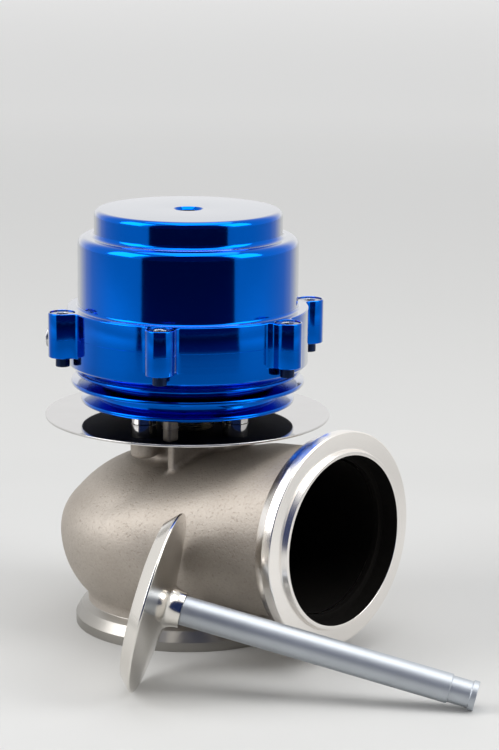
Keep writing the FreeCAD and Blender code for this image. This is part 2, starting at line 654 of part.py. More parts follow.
def actuator_base():
    root = "fin_root_radius"
    body = turned("base_turned", [
        ("stem_passage", "base_bottom"),
        ("base_plate_radius", "base_bottom"),
        ("base_plate_radius", "base_bottom + fin_thickness"),
        (root, "base_bottom + fin_thickness + fin_root_slope"),
        (root, "fin_bottom - fin_root_slope"),
        ("fin_radius", "fin_bottom"),
        ("fin_radius", "fin_bottom + fin_thickness"),
        (root, "fin_bottom + fin_thickness + fin_root_slope / 2"),
        (root, "thin_fin_bottom - fin_root_slope / 2"),
        ("thin_fin_radius", "thin_fin_bottom"),
        ("thin_fin_radius", "thin_fin_bottom + thin_fin_thickness"),
        ("thin_fin_radius - ring_bevel", "thin_fin_bottom + thin_fin_thickness"),
        ("thin_fin_radius - ring_bevel", "ring_bottom"),
        ("ring_radius - ring_bevel", "ring_bottom"),
        ("ring_radius", "ring_bottom + ring_bevel"),
        ("ring_radius", "joint"),
        ("bead_radius", "joint"),
        ("bead_radius", "bead_bottom"),
        ("chamber_radius", "bead_bottom"),
        ("chamber_radius", "chamber_floor"),
        ("gland_radius", "chamber_floor"),
        ("gland_radius", "seal_washer_top + circlip_thickness"),
        ("gland_radius + circlip_bite", "seal_washer_top + circlip_thickness"),
        ("gland_radius + circlip_bite", "seal_washer_top"),
        ("gland_radius", "seal_washer_top"),
        ("gland_radius", "gland_floor"),
        ("stem_passage", "gland_floor"),
    ])
    lobes = ears("base", "ear_bottom", "joint")
    eared = blend_ears("base_blended", fuse("base_eared", [body] + lobes), "ear_bottom", "joint")
    boss = sideways("port_boss", "port_boss_radius", "chamber_radius + can_wall", "port_face")
    chamber = cylinder("base_chamber", "chamber_radius", "chamber_floor", "joint")
    recess = cylinder("bead_recess", "bead_radius", "bead_bottom", "joint")
    tools = [chamber, recess, sideways("port_hole", "port_radius", "chamber_radius - can_wall",
                                       "port_face + hole_gap")]
    for number, bearing in enumerate(BEARINGS_6):
        tools.append(cylinder(f"ear_thread_{number}", "screw_radius + screw_gap", "ear_bottom - overcut",
                              "joint + overcut", "ear_circle_radius", bearing))
    for number, bearing in enumerate(BEARINGS_4):
        tools.append(cylinder(f"bolt_hole_{number}", "bolt_radius + hole_gap", "base_bottom - overcut",
                              "chamber_floor + overcut", "post_circle_radius", bearing))
        tools.append(cylinder(f"bolt_pocket_{number}", "bolt_head_radius + 2 * hole_gap", "bolt_seat",
                              "chamber_floor + overcut", "post_circle_radius", bearing))
    return node(cut("base_cut", fuse("base_bossed", [eared, boss]), tools), "actuator_base")


def sideways(name, radius, near, far):
    """A level cylinder along the side port's bearing."""
    made = add("Part::Cylinder", name, Radius=radius, Height=f"({far}) - ({near})")
    made.Placement.Rotation = side_turn()
    return place(made, f"({near}) * cos(port_bearing)", f"({near}) * sin(port_bearing)",
                 "port_height")


def side_turn():
    """Rotation that lays Z along the side port's bearing."""
    return Rotation(Vector(0, 0, 1), val("port_bearing")).multiply(Rotation(Vector(0, 1, 0), 90))


def actuator_cover():
    body = turned("cover_turned", [
        ("0", "ceiling"),
        ("inner_boss_radius", "ceiling"),
        ("inner_boss_radius", "inner_shoulder"),
        ("chamber_radius", "inner_shoulder"),
        ("chamber_radius", "joint"),
        ("ring_radius", "joint"),
        ("ring_radius", "ring_top"),
        ("can_radius", "ring_top"),
        ("can_radius", "shoulder"),
        ("boss_radius", "shoulder"),
        ("boss_radius", "cover_top"),
        ("0", "cover_top"),
    ], [
        ("boss_radius", "cover_top", "top_edge_round"),
        ("boss_radius", "shoulder", "boss_foot_round"),
        ("can_radius", "shoulder", "shoulder_round"),
        ("can_radius", "ring_top", "can_foot_round"),
    ])
    lobes = ears("cover", "joint", "ring_top")
    void = cylinder("cover_chamber", "chamber_radius", "joint", "inner_shoulder")
    eared = blend_ears("cover_blended", fuse("cover_eared", [body] + lobes), "joint", "ring_top")
    port = cylinder("top_port", "top_port_radius", "ceiling - overcut", "cover_top + overcut")
    chamfer = add("Part::Cone", "top_port_chamfer", Radius1="top_port_radius",
                  Radius2="top_port_radius + top_port_chamfer", Height="top_port_chamfer")
    place(chamfer, z="cover_top - top_port_chamfer")
    tools = [void, port, chamfer]
    for number, bearing in enumerate(BEARINGS_6):
        tools.append(cylinder(f"cover_hole_{number}", "screw_radius + hole_gap",
                              "joint - overcut", "ring_top + overcut", "ear_circle_radius", bearing))
        tools.append(cylinder(f"cover_pocket_{number}", "screw_head_radius + hole_gap",
                              "screw_seat", "ring_top + overcut", "ear_circle_radius", bearing))
    return node(cut("cover_cut", eared, tools), "actuator_cover")


def cover_screws():
    return node(socket_screws("cover_screw", "screw_radius", "screw_head_radius",
                              "screw_head_height", "screw_socket", "screw_tip", "screw_seat",
                              "ear_circle_radius", BEARINGS_6), "cover_screws")


def port_plug():
    """Screw plug in the side port, with its sealing washer."""
    seal_end = "port_face + plug_seal_thickness"
    head_end = f"{seal_end} + plug_head_height"
    shank = sideways("plug_shank", "port_radius - screw_gap", f"{seal_end} - plug_length", head_end)
    head = sideways("plug_head", "plug_head_radius", seal_end, head_end)
    socket = add("Part::Prism", "plug_hexagon", Circumradius="plug_socket / sqrt(3)",
                 Height="plug_head_height")
    socket.Polygon = 6
    socket.Placement.Rotation = side_turn()
    reach = f"({head_end} - plug_head_height / 2)"
    place(socket, f"{reach} * cos(port_bearing)", f"{reach} * sin(port_bearing)", "port_height")
    node(cut("plug_cut", fuse("plug_blank", [shank, head]), [socket]), "port_plug")
    washer = sideways("plug_seal_outside", "plug_head_radius", "port_face", seal_end)
    bore = sideways("plug_seal_inside", "port_radius", "port_face - overcut", f"{seal_end} + overcut")
    node(cut("plug_seal_cut", washer, [bore]), "plug_seal")


# Stem seal

def stem_seal():
    outer = "gland_radius - screw_gap"
    node(turned("stem_seal_body", [
        ("stem_radius + running_gap", "gland_floor"),
        (outer, "gland_floor"),
        (outer, "seal_top"),
        ("stem_radius + running_gap", "seal_top"),
    ]), "stem_seal")
    node(turned("seal_washer_body", [
        ("stem_passage", "seal_top"),
        (outer, "seal_top"),
        (outer, "seal_washer_top"),
        ("stem_passage", "seal_washer_top"),
    ]), "seal_washer")
    edge = "gland_radius + circlip_bite - screw_gap"
    clip = turned("seal_circlip_body", [
        (f"{edge} - circlip_width", "seal_washer_top"),
        (edge, "seal_washer_top"),
        (edge, "seal_washer_top + circlip_thickness"),
        (f"{edge} - circlip_width", "seal_washer_top + circlip_thickness"),
    ])
    opening = block("circlip_opening", "0", "gland_radius + ring_bevel", "circlip_gap", "seal_top",
                    "chamber_floor", "circlip_bearing")
    node(cut("seal_circlip_cut", clip, [opening]), "seal_circlip")


# Diaphragm and piston

def diaphragm():
    """Rubber cup clamped at the parting joint and between the piston's plates."""
    hub = "hub_radius + screw_gap"
    lower = "lower_plate_radius + hole_gap"
    wall = "diaphragm_thickness"
    return node(turned("diaphragm_body", [
        (hub, "diaphragm_bottom"),
        (lower, "diaphragm_bottom"),
        (f"chamber_radius - {wall} - hole_gap", "bead_bottom"),
        ("bead_radius - screw_gap", "bead_bottom"),
        ("bead_radius - screw_gap", "joint"),
        ("chamber_radius - hole_gap", "joint"),
        (f"{lower} + {wall}", "piston_level"),
        (hub, "piston_level"),
    ]), "diaphragm")


def piston():
    rim_inside = "piston_radius - piston_rim_wall"
    node(turned("piston_cup_body", [
        ("stem_radius + 2 * running_gap", "hub_bottom"),
        ("hub_radius", "hub_bottom"),
        ("hub_radius", "piston_level"),
        ("piston_radius", "piston_level"),
        ("piston_radius", "piston_floor + piston_rim_height"),
        (rim_inside, "piston_floor + piston_rim_height"),
        (rim_inside, "piston_floor"),
        ("hub_radius", "piston_floor"),
        ("hub_radius", "hub_top"),
        ("collet_radius + screw_gap", "hub_top"),
        ("collet_radius + screw_gap", "neck_low"),
        ("stem_radius + 2 * running_gap", "neck_low"),
    ], [("piston_radius", "piston_level", "top_edge_round")]), "piston_cup")
    node(turned("lower_plate_body", [
        ("hub_radius + screw_gap", "lower_plate_bottom"),
        ("lower_plate_radius", "lower_plate_bottom"),
        ("lower_plate_radius", "diaphragm_bottom"),
        ("hub_radius + screw_gap", "diaphragm_bottom"),
    ], [("lower_plate_radius", "lower_plate_bottom", "boss_foot_round")]), "lower_plate")
    nut = hexagon("nut_blank", "nut_across_flats", "lower_plate_bottom - nut_height",
                  "lower_plate_bottom")
    thread = cylinder("nut_thread", "hub_radius + screw_gap", "hub_bottom - overcut", "diaphragm_bottom")
    node(cut("clamp_nut_cut", nut, [thread]), "clamp_nut")
    collet = turned("collet_ring", [
        ("stem_neck_radius + running_gap", "neck_low"),
        ("collet_radius", "neck_low"),
        ("collet_radius", "neck_high"),
        ("stem_neck_radius + running_gap", "neck_high"),
    ])
    slit = block("collet_slit_cut", "-collet_radius - overcut", "collet_radius + overcut", "collet_slit",
                 "neck_low - overcut", "neck_high + overcut")
    node(cut("split_collet_cut", collet, [slit]), "split_collet")
    cap = turned("collet_cap_body", [
        ("stem_radius + screw_gap", "neck_high"),
        ("collet_radius", "neck_high"),
        ("collet_radius", "hub_top"),
        ("0", "hub_top"),
        ("0", "stem_tip + hole_gap"),
        ("stem_radius + screw_gap", "stem_tip + hole_gap"),
    ])
    key = hexagon("cap_hexagon", "cap_socket", "(stem_tip + hub_top + 2 * hole_gap) / 2",
                  "hub_top + overcut")
    node(cut("collet_cap_cut", cap, [key]), "collet_cap")


# Valve

def valve_head():
    dish = "valve_rim_height + valve_dish_height"
    return node(turned("valve_head_body", [
        ("0", "valve_face_height"),
        ("valve_face_radius", "valve_face_height"),
        ("valve_rim_radius", "valve_face_height + valve_cone_height"),
        ("valve_rim_radius", "valve_rim_height"),
        ("valve_dish_radius", dish),
        ("valve_collar_radius", "stem_foot", "valve_neck_arc", "right"),
        ("spigot_radius + press_gap", "stem_foot"),
        ("spigot_radius + press_gap", "stem_foot - spigot_depth"),
        ("0", "stem_foot - spigot_depth"),
    ]), "valve_head")


def valve_stem():
    return node(turned("valve_stem_body", [
        ("0", "stem_foot - spigot_depth"),
        ("spigot_radius", "stem_foot - spigot_depth"),
        ("spigot_radius", "stem_foot"),
        ("stem_radius", "stem_foot"),
        ("stem_radius", "neck_low"),
        ("stem_neck_radius", "neck_low"),
        ("stem_neck_radius", "neck_high"),
        ("stem_radius", "neck_high"),
        ("stem_radius", "stem_tip"),
        ("0", "stem_tip"),
    ]), "valve_stem")


def spare_valve(head, stem):
    """The same valve again, lying on the table on its rim and its tip."""
    tilt = "atan((valve_rim_radius - stem_radius) / stem_reach)"
    for source, name in ((head, "spare_valve_head"), (stem, "spare_valve_stem")):
        tipped = group(name + "_tipped", [source])
        place(tipped, f"valve_rim_radius * sin({tilt}) - valve_rim_height * cos({tilt})", "0",
              f"valve_rim_radius * cos({tilt}) + valve_rim_height * sin({tilt})", f"90 deg + {tilt}",
              (0, 1, 0))
        laid = group(name + "_laid", [tipped])
        node(place(laid, "spare_distance * cos(spare_contact_bearing)",
                   "spare_distance * sin(spare_contact_bearing)", "0", "spare_axis_bearing"), name)


# Springs

def coil_spring(name, coil_radius, wire, turns):
    """Coil spring with ground ends between the piston cup and the cover's roof.

    Each half turn is a level-ended arc that leans about Y, so that the wire
    runs on smoothly from one to the next.
    """
    halves = round(2 * val(turns))
    step = f"(ceiling - piston_floor) / {halves}"
    pieces = []
    for number in range(halves):
        half = add("Part::Torus", f"{name}_arc_{number}", Radius2=f"({wire}) / 2",
                   Radius1=f"sqrt(({coil_radius})^2 + ({step} / 2)^2)")
        half.Angle3 = 180
        if number % 2:
            half.Placement.Rotation = Rotation(Vector(0, 0, 1), 180)
        lean = f"atan({step} / 2 / ({coil_radius}))"
        leaned = group(f"{name}_half_{number}", [half])
        pieces.append(place(leaned, z=f"piston_floor + ({number} + 1 / 2) * {step}",
                            turn=lean if number % 2 == 0 else f"-{lean}", axis=(0, 1, 0)))
    room = cylinder(name + "_room", f"{coil_radius} + {wire}", "piston_floor", "ceiling")
    coil = fuse(name + "_coil", pieces)
    return node(add("Part::Common", name + "_ground", {"Base": coil, "Tool": room}), name)


valve_housing()
seat_ring()
stem_guide()
heat_shield()
posts_and_bolts()
actuator_base()
actuator_cover()
cover_screws()
port_plug()
stem_seal()
diaphragm()
piston()
spare_valve(valve_head(), valve_stem())
coil_spring("outer_spring", "outer_coil_radius", "outer_wire", "outer_turns")
coil_spring("inner_spring", "inner_coil_radius", "inner_wire", "inner_turns")
doc.recompute()

failed = [o.Name for o in doc.Objects if {"Invalid", "Error"} & set(o.State)]
if failed:
    raise RuntimeError(f"objects that failed: {failed}")
for made in NODES:
    if made.Shape.isNull() or not made.Shape.isValid() or not made.Shape.Solids:
        raise RuntimeError(f"{made.Label} has no valid solid")

os.makedirs("parts", exist_ok=True)
for made in NODES:
    made.Shape.exportStep(f"parts/{made.Label}.step")
    print(f"{made.Label}: {len(made.Shape.Solids)} solids, {made.Shape.Volume / 1000:.2f} cm3")
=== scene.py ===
"""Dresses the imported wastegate: finishes, broken edges, cast skin, threads, stage and camera."""

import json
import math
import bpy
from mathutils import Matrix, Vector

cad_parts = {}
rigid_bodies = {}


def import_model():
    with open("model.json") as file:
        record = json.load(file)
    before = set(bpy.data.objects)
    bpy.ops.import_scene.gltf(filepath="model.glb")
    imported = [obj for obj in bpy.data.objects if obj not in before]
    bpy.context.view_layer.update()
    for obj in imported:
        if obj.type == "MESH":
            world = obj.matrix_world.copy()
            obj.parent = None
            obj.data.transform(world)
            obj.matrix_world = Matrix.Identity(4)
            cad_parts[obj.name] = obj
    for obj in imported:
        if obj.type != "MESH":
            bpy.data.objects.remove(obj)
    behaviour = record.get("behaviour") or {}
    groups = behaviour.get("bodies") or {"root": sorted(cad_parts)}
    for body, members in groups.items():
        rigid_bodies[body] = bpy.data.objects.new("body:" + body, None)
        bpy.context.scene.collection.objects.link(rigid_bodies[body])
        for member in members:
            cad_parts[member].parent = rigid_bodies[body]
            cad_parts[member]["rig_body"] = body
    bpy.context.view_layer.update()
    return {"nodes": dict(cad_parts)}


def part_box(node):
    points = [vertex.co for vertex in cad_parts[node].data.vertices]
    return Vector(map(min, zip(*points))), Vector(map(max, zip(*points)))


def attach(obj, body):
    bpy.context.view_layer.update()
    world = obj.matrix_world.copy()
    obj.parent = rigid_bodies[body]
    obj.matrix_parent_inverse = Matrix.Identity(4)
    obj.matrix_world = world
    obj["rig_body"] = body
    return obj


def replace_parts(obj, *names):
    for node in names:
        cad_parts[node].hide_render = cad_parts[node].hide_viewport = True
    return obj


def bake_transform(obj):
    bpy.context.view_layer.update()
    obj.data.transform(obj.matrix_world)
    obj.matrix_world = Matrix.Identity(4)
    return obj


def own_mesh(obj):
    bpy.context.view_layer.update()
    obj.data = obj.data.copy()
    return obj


bl_info = {
    "name": "Wastegate dresser",
    "version": (1, 0, 0),
    "blender": (4, 5, 0),
    "location": "View3D > Sidebar > Wastegate",
    "description": "Finishes an external wastegate around its CAD frame",
    "category": "Object",
}

import bmesh
import bpy
import numpy as np
from bpy.props import FloatProperty, FloatVectorProperty, IntProperty, PointerProperty
from mathutils import Matrix, Vector
from mathutils.geometry import tessellate_polygon

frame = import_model()
MM = 0.001
ROOT, MOVING, LOOSE = "housing", "valve", "spare_valve"

# Read from the frame, in millimetres
TOP_OF_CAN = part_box("actuator_cover")[1].z / MM
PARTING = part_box("actuator_cover")[0].z / MM
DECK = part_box("heat_shield")[0].z / MM
FIN_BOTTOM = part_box("actuator_base")[0].z / MM
OUTLET_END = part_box("valve_housing")[1].x / MM

# The housing: axis, bore and flange of the outlet, its tube and the inlet's, and the stop lug
OUTLET_HEIGHT, OUTLET_BORE = 43.3, 30.0
FLANGE_BACK = OUTLET_END - 9.6
DUCT_TUBE, NECK_TUBE, NECK_END = 31.4, 35.9, 8.7
STOP_LUG = (12.2, -22.45)

# The actuator: radii, heights, ears, screw pockets and the top port with its thread
RING, CAN, BOSS, CHAMBER = 43.2, 39.45, 33.6, 36.4
RING_TOP, SHOULDER, EAR_BOTTOM, CEILING = 116.8, 142.2, 100.8, 148.5
EAR, EAR_CIRCLE, EAR_BLEND, EARS = 5.1, 46.5, 2.2, 6
SCREW_POCKET, SCREW_SEAT = 4.5, 111.4
PORT, PORT_THREAD = 4.4, 4.55

# The steps of a rounded edge: how far in and how far from the flat, as shares of its size
ROUNDED = ((0, 1), (0.13, 0.5), (0.5, 0.13), (1, 0))

STEM_AXIS = ((0, 0, 0), (0, 0, 1))
OUTLET_AXIS = ((0, 0, OUTLET_HEIGHT), (1, 0, 0))
TO_CAMERA = (0.668, -0.744, 0.0)

# Name, place and size in metres, and share of the key's power
LAMPS = (("left_lamp", (-0.55, -0.85, 0.75), (0.7, 0.9), 1.0),
         ("right_lamp", (0.95, 0.35, 0.80), (0.6, 0.9), 0.8),
         ("top_lamp", (0.05, 0.05, 1.25), (1.0, 1.0), 0.9))


# Shader writing

class Wire:
    """A shader socket that can stand in a Python expression."""

    def __init__(self, shader, socket):
        self.shader = shader
        self.socket = socket

    def math(self, operation, *values):
        """A Math node over this socket and further values."""
        return self.shader.node("ShaderNodeMath", {"operation": operation},
                                dict(enumerate((self, *values))))

    def __add__(self, other):
        return self.math("ADD", other)

    def __mul__(self, other):
        return self.math("MULTIPLY", other)

    def __sub__(self, other):
        return self.math("SUBTRACT", other)


class Shader:
    """Writes one material, a node at a time."""

    def __init__(self, name, tree=None):
        if tree is None:
            self.material = bpy.data.materials.new(name)
            self.material.use_nodes = True
            tree = self.material.node_tree
        tree.nodes.clear()
        self.tree = tree

    def node(self, kind, settings=None, inputs=None, output=0):
        """Add a node of this kind, set it up, feed its sockets and return one output."""
        made = self.tree.nodes.new(kind)
        for key, value in (settings or {}).items():
            setattr(made, key, value)
        for key, value in (inputs or {}).items():
            if isinstance(value, Wire):
                self.tree.links.new(value.socket, made.inputs[key])
            else:
                made.inputs[key].default_value = value
        return Wire(self, made.outputs[output]) if made.outputs else None

    def ramp(self, factor, *stops):
        """A colour ramp with (position, grey) stops, read as a number."""
        made = self.node("ShaderNodeValToRGB", {}, {0: factor})
        elements = made.socket.node.color_ramp.elements
        while len(elements) < len(stops):
            elements.new(1.0)
        for element, (position, grey) in zip(elements, stops):
            element.position = position
            element.color = (grey, grey, grey, 1.0)
        return made

    def mix(self, factor, first, second):
        """A blend of two colours."""
        pair = [c if isinstance(c, Wire) else (*c, 1.0) for c in (first, second)]
        return self.node("ShaderNodeMix", {"data_type": "RGBA"},
                         {0: factor, 6: pair[0], 7: pair[1]}, output=2)

    def vector(self, operation, *values, output=0):
        """A Vector Math node."""
        return self.node("ShaderNodeVectorMath", {"operation": operation},
                         dict(enumerate(values)), output)

    def place(self):
        """Position on the object, in millimetres of the row frame."""
        metres = self.node("ShaderNodeTexCoord", output="Object")
        return self.vector("MULTIPLY", metres, (1000.0,) * 3)

    def noise(self, place, scale, detail=2.0, roughness=0.5):
        """Three-dimensional noise, its scale in cycles per millimetre."""
        return self.node("ShaderNodeTexNoise", {}, {"Vector": place, "Scale": scale,
                                                    "Detail": detail, "Roughness": roughness})

    def lines(self, along, scale, detail=3.0):
        """Random parallel lines across a distance in millimetres."""
        return self.node("ShaderNodeTexNoise", {"noise_dimensions": "1D"},
                         {"W": along, "Scale": scale, "Detail": detail})

    def bump(self, height, depth, strength=1.0):
        """A Bump node whose full height is given in millimetres."""
        return self.node("ShaderNodeBump", {},
                         {"Height": height, "Distance": depth * MM, "Strength": strength})

    def about(self, axis):
        """Radius from an axis and distance along it, both in millimetres."""
        origin, direction = axis
        offset = self.vector("SUBTRACT", self.place(), origin)
        along = self.vector("DOT_PRODUCT", offset, direction, output=1)
        radius = self.vector("LENGTH", self.vector("CROSS_PRODUCT", offset, direction), output=1)
        return radius, along

    def surface(self, **sockets):
        """The Principled shader with these sockets, joined to the output."""
        made = self.node("ShaderNodeBsdfPrincipled", {}, {
            name.replace("_", " ").title().replace("Ior", "IOR"): value
            for name, value in sockets.items()})
        self.node("ShaderNodeOutputMaterial", {}, {"Surface": made})
        return self.material


# Settings that a user would change

TINT = {"subtype": "COLOR", "min": 0, "max": 1}


class BlueFinish(bpy.types.PropertyGroup):
    """The anodised actuator."""

    colour: FloatVectorProperty(name="Colour", description="Blue of the anodised layer",
                                default=(0.0004, 0.122, 0.63), **TINT)
    gloss: FloatProperty(name="Roughness", description="Roughness of the turned faces",
                         min=0, max=1, default=0.10)
    marks: FloatProperty(name="Turning marks", description="Depth of the marks in micrometres",
                         min=0, max=40, default=0.22)
    edge: FloatProperty(name="Broken edge", description="Round of the ring's edges in millimetres",
                        min=0.02, max=0.45, default=0.4)
    seam: FloatProperty(name="Seam", description="Width of the parting line's edges in millimetres",
                        min=0.01, max=0.5, default=0.05)


class CastFinish(bpy.types.PropertyGroup):
    """The bead-blasted casting."""

    colour: FloatVectorProperty(name="Colour", description="Blasted stainless steel",
                                default=(0.50, 0.455, 0.405), **TINT)
    stain: FloatVectorProperty(name="Stain", description="Darker tint in hollows",
                               default=(0.30, 0.255, 0.21), **TINT)
    # Painted shade: the near-black colour of the inner walls
    painted_inner_shade: FloatVectorProperty(name="Inside", description="Rough inner wall",
                              default=(0.0045, 0.004, 0.0035), **TINT)
    grain: FloatProperty(name="Grain", description="Grains of the skin per millimetre",
                         min=0.2, max=6, default=1.15)
    depth: FloatProperty(name="Grain depth", description="Depth of the grain in millimetres",
                         min=0, max=0.3, default=0.11)
    voxel: FloatProperty(name="Skin step", description="Size of the skin's cells in millimetres",
                         min=0.4, max=3, default=0.9)
    passes: IntProperty(name="Blending", description="Passes that blend the casting's corners",
                        min=0, max=80, default=22)


class SteelFinish(bpy.types.PropertyGroup):
    """Machined and polished steel."""

    flange: FloatVectorProperty(name="Flange", description="Machined flanges",
                                default=(0.97, 0.935, 0.895), **TINT)
    stem: FloatVectorProperty(name="Stem", description="Ground valve stem",
                              default=(0.50, 0.53, 0.565), **TINT)
    hardware: FloatVectorProperty(name="Hardware", description="Screws and posts",
                                  default=(0.55, 0.55, 0.56), **TINT)
    edge: FloatProperty(name="Broken edge", description="Width of the broken edges in millimetres",
                        min=0.02, max=1, default=0.22)


class StageLook(bpy.types.PropertyGroup):
    """Floor, light and camera."""

    floor: FloatVectorProperty(name="Floor", description="Colour of the floor",
                               default=(0.66, 0.66, 0.65), **TINT)
    fill: FloatProperty(name="Fill", description="Strength of the light from all round",
                        min=0, max=2, default=0.28)
    key: FloatProperty(name="Key", description="Power of the large lamps in watts",
                       min=0, max=60, default=8.5)
    lens: FloatProperty(name="Lens", description="Focal length", unit="CAMERA", min=20, max=400,
                        default=124.72)
    spot: FloatVectorProperty(name="Camera", description="Place of the camera", subtype="XYZ",
                              unit="LENGTH", default=(0.61115, -0.68112, 0.28742))


SETTINGS = {"wastegate_blue": BlueFinish, "wastegate_cast": CastFinish,
            "wastegate_steel": SteelFinish, "wastegate_stage": StageLook}


# Materials

def finish(name, write):
    """The material of that name, written once; the frame's own materials keep their names."""
    found = bpy.data.materials.get(f"{name}_finish")
    return found or write(Shader(f"{name}_finish"))


def dimmed(colour, share):
    """A share of a colour's light."""
    return tuple(share * c for c in colour)


def blue_anodised():
    """Dyed clear oxide over finely turned aluminium."""
    blue = bpy.context.scene.wastegate_blue

    def write(shader):
        radius, height = shader.about(STEM_AXIS)
        feed = radius + height
        dye = shader.mix(shader.noise(shader.place(), 0.06), dimmed(blue.colour, 0.88),
                         blue.colour)
        facing = shader.node("ShaderNodeLayerWeight", {}, {"Blend": 0.5}, output=1)
        sheen = shader.ramp(facing, (0.50, 0.0), (0.60, 0.10), (0.70, 0.50), (0.80, 0.97))
        return shader.surface(
            base_color=shader.mix(sheen, dye, (0.60, 0.62, 0.655)), metallic=1.0,
            roughness=shader.lines(feed, 1.6) * 0.05 + (blue.gloss - 0.025),
            normal=shader.bump(shader.lines(feed, 7.0), blue.marks * MM))
    return finish("turned_blue", write)


def matt(name, first, second, grain, detail, roughness, shine):
    """A matt skin whose colour drifts between two."""
    def write(shader):
        cloud = shader.noise(shader.place(), grain, detail)
        return shader.surface(
            base_color=shader.mix(cloud, first, second), roughness=cloud * 0.1 + roughness,
            specular_ior_level=shine, normal=shader.bump(cloud, 0.01))
    return finish(name, write)


def cast_skin():
    """Bead-blasted stainless casting with a fine orange-peel grain."""
    cast = bpy.context.scene.wastegate_cast

    def write(shader):
        place = shader.place()
        cloud = shader.noise(place, 0.05, 3.0)
        fine = shader.noise(place, cast.grain, 3.0, 0.62)
        pits = shader.ramp(shader.noise(place, 0.9 * cast.grain, 1.0), (0.60, 0.0), (0.72, 1.0))
        tint = shader.mix(shader.ramp(cloud, (0.35, 0.0), (0.75, 1.0)), cast.colour,
                          [0.55 * a + 0.45 * b for a, b in zip(cast.colour, cast.stain)])
        speck = shader.ramp(fine, (0.36, 1.0), (0.62, 0.0))
        return shader.surface(
            base_color=shader.mix(speck * 0.30 + pits * 0.35, tint, cast.stain),
            metallic=0.75, roughness=fine * 0.16 + 0.48,
            normal=shader.bump(fine - pits * 0.4, cast.depth))
    return finish("cast_skin", write)


def painted_shade_wall():
    """Rough inner wall, painted near-black as shade for the dark inside of the gas way, with a
    little random brown.
    """
    cast = bpy.context.scene.wastegate_cast

    def write(shader):
        place = shader.place()
        grain = shader.noise(place, 1.0, 4.0, 0.65)
        brown = [1.9 * a + 0.2 * b * a for a, b in zip(cast.painted_inner_shade, cast.stain)]
        return shader.surface(
            base_color=shader.mix(shader.noise(place, 0.08), cast.painted_inner_shade, brown),
            roughness=grain * 0.2 + 0.75, specular_ior_level=0.08,
            normal=shader.bump(grain, 2 * cast.depth, 0.7))
    return finish("painted_shade_wall", write)


def turned_steel(name, axis, colour, roughness, depth=1.6, pitch=4.0):
    """Metal turned or faced about an axis, with ring marks some micrometres deep."""
    def write(shader):
        radius, along = shader.about(axis)
        feed = radius + along
        smear = shader.noise(shader.place(), 0.12, 3.0)
        return shader.surface(
            base_color=shader.mix(smear * 0.5, colour, dimmed(colour, 0.86)), metallic=1.0,
            roughness=(shader.lines(feed, 1.3) * 0.45 + smear * 0.35 + 0.6) * roughness,
            normal=shader.bump(shader.lines(feed, pitch), depth * MM))
    return finish(name, write)


def ground_stem(name, axis):
    """Satin ground stem with marks round it."""
    steel = bpy.context.scene.wastegate_steel

    def write(shader):
        place = shader.place()
        along = shader.about(axis)[1]
        return shader.surface(
            base_color=shader.mix(shader.noise(place, 0.125, 3.0), steel.stem,
                                  dimmed(steel.stem, 0.90)),
            metallic=1.0, roughness=shader.noise(place, 2.5) * 0.10 + 0.45,
            normal=shader.bump(shader.lines(along, 5.0), 0.5 * MM))
    return finish(name, write)


def plain_hardware(name, colour, roughness):
    """Small hardware: plain metal with scuffs."""
    def write(shader):
        scuff = shader.noise(shader.place(), 0.8, 4.0, 0.65)
        worn = shader.ramp(scuff, (0.42, 0.0), (0.66, 1.0))
        return shader.surface(
            base_color=shader.mix(worn * 0.5, colour, dimmed(colour, 0.72)),
            metallic=1.0, roughness=worn * 0.14 + roughness,
            normal=shader.bump(scuff, 0.008))
    return finish(name, write)


def woven_rubber():
    """Fabric-reinforced diaphragm rubber."""
    def write(shader):
        radius, height = shader.about(STEM_AXIS)
        place = shader.place()
        warp, weft = ((shader.node("ShaderNodeSeparateXYZ", {}, {0: place}, way) * 5.5).math("SINE")
                      for way in (0, 1))
        dust = shader.noise(place, 0.3, 3.0)
        return shader.surface(
            base_color=shader.mix(dust, (0.14, 0.035, 0.03), (0.20, 0.06, 0.05)),
            roughness=dust * 0.2 + 0.55,
            normal=shader.bump(warp * weft + shader.lines(radius + height, 1.0), 0.03))
    return finish("woven_rubber", write)


def spring_wire():
    """Drawn and shot-peened spring wire."""
    def write(shader):
        peen = shader.noise(shader.place(), 3.0)
        cloud = shader.noise(shader.place(), 0.15)
        return shader.surface(
            base_color=shader.mix(cloud, (0.36, 0.37, 0.39), (0.26, 0.265, 0.28)),
            metallic=1.0, roughness=peen * 0.12 + 0.30, normal=shader.bump(peen, 0.012))
    return finish("spring_wire", write)


# Mesh making

def polar(radius, turn):
    """The point (x, y) at a radius and a turn from +X."""
    return radius * math.cos(turn), radius * math.sin(turn)


def grid(rows, count, joined):
    """Quads over rows of so many points, each row a ring; joined ties the last row to the first."""
    quads = []
    for row in range(rows if joined else rows - 1):
        low, high = row * count, (row + 1) % rows * count
        for index in range(count):
            nxt = (index + 1) % count
            quads.append((low + index, high + index, high + nxt, low + nxt))
    return quads


def linked(name, data):
    """A new object of that data, in the scene."""
    obj = bpy.data.objects.new(name, data)
    bpy.context.scene.collection.objects.link(obj)
    return obj


def paint(mesh, *materials):
    """Give a mesh these materials and smooth shading."""
    mesh.materials.clear()
    for material in materials:
        mesh.materials.append(material)
    mesh.shade_smooth()


def dressed(name, mesh, body, material, smooth_angle):
    """A new object of that mesh, smooth up to an angle, that rides on a body."""
    obj = linked(name, mesh)
    paint(mesh, material)
    mesh.set_sharp_from_angle(angle=math.radians(smooth_angle))
    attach(obj, body)
    return obj


def piece(name, verts, faces, body, material, smooth_angle=35):
    """A new object from vertices in millimetres and faces."""
    mesh = bpy.data.meshes.new(name)
    mesh.from_pydata([tuple(c * MM for c in v) for v in verts], [], faces)
    mesh.validate()
    return dressed(name, mesh, body, material, smooth_angle)


def mesh_of(soft, name):
    """Turn a bmesh into a mesh."""
    mesh = bpy.data.meshes.new(name)
    soft.to_mesh(mesh)
    soft.free()
    return mesh


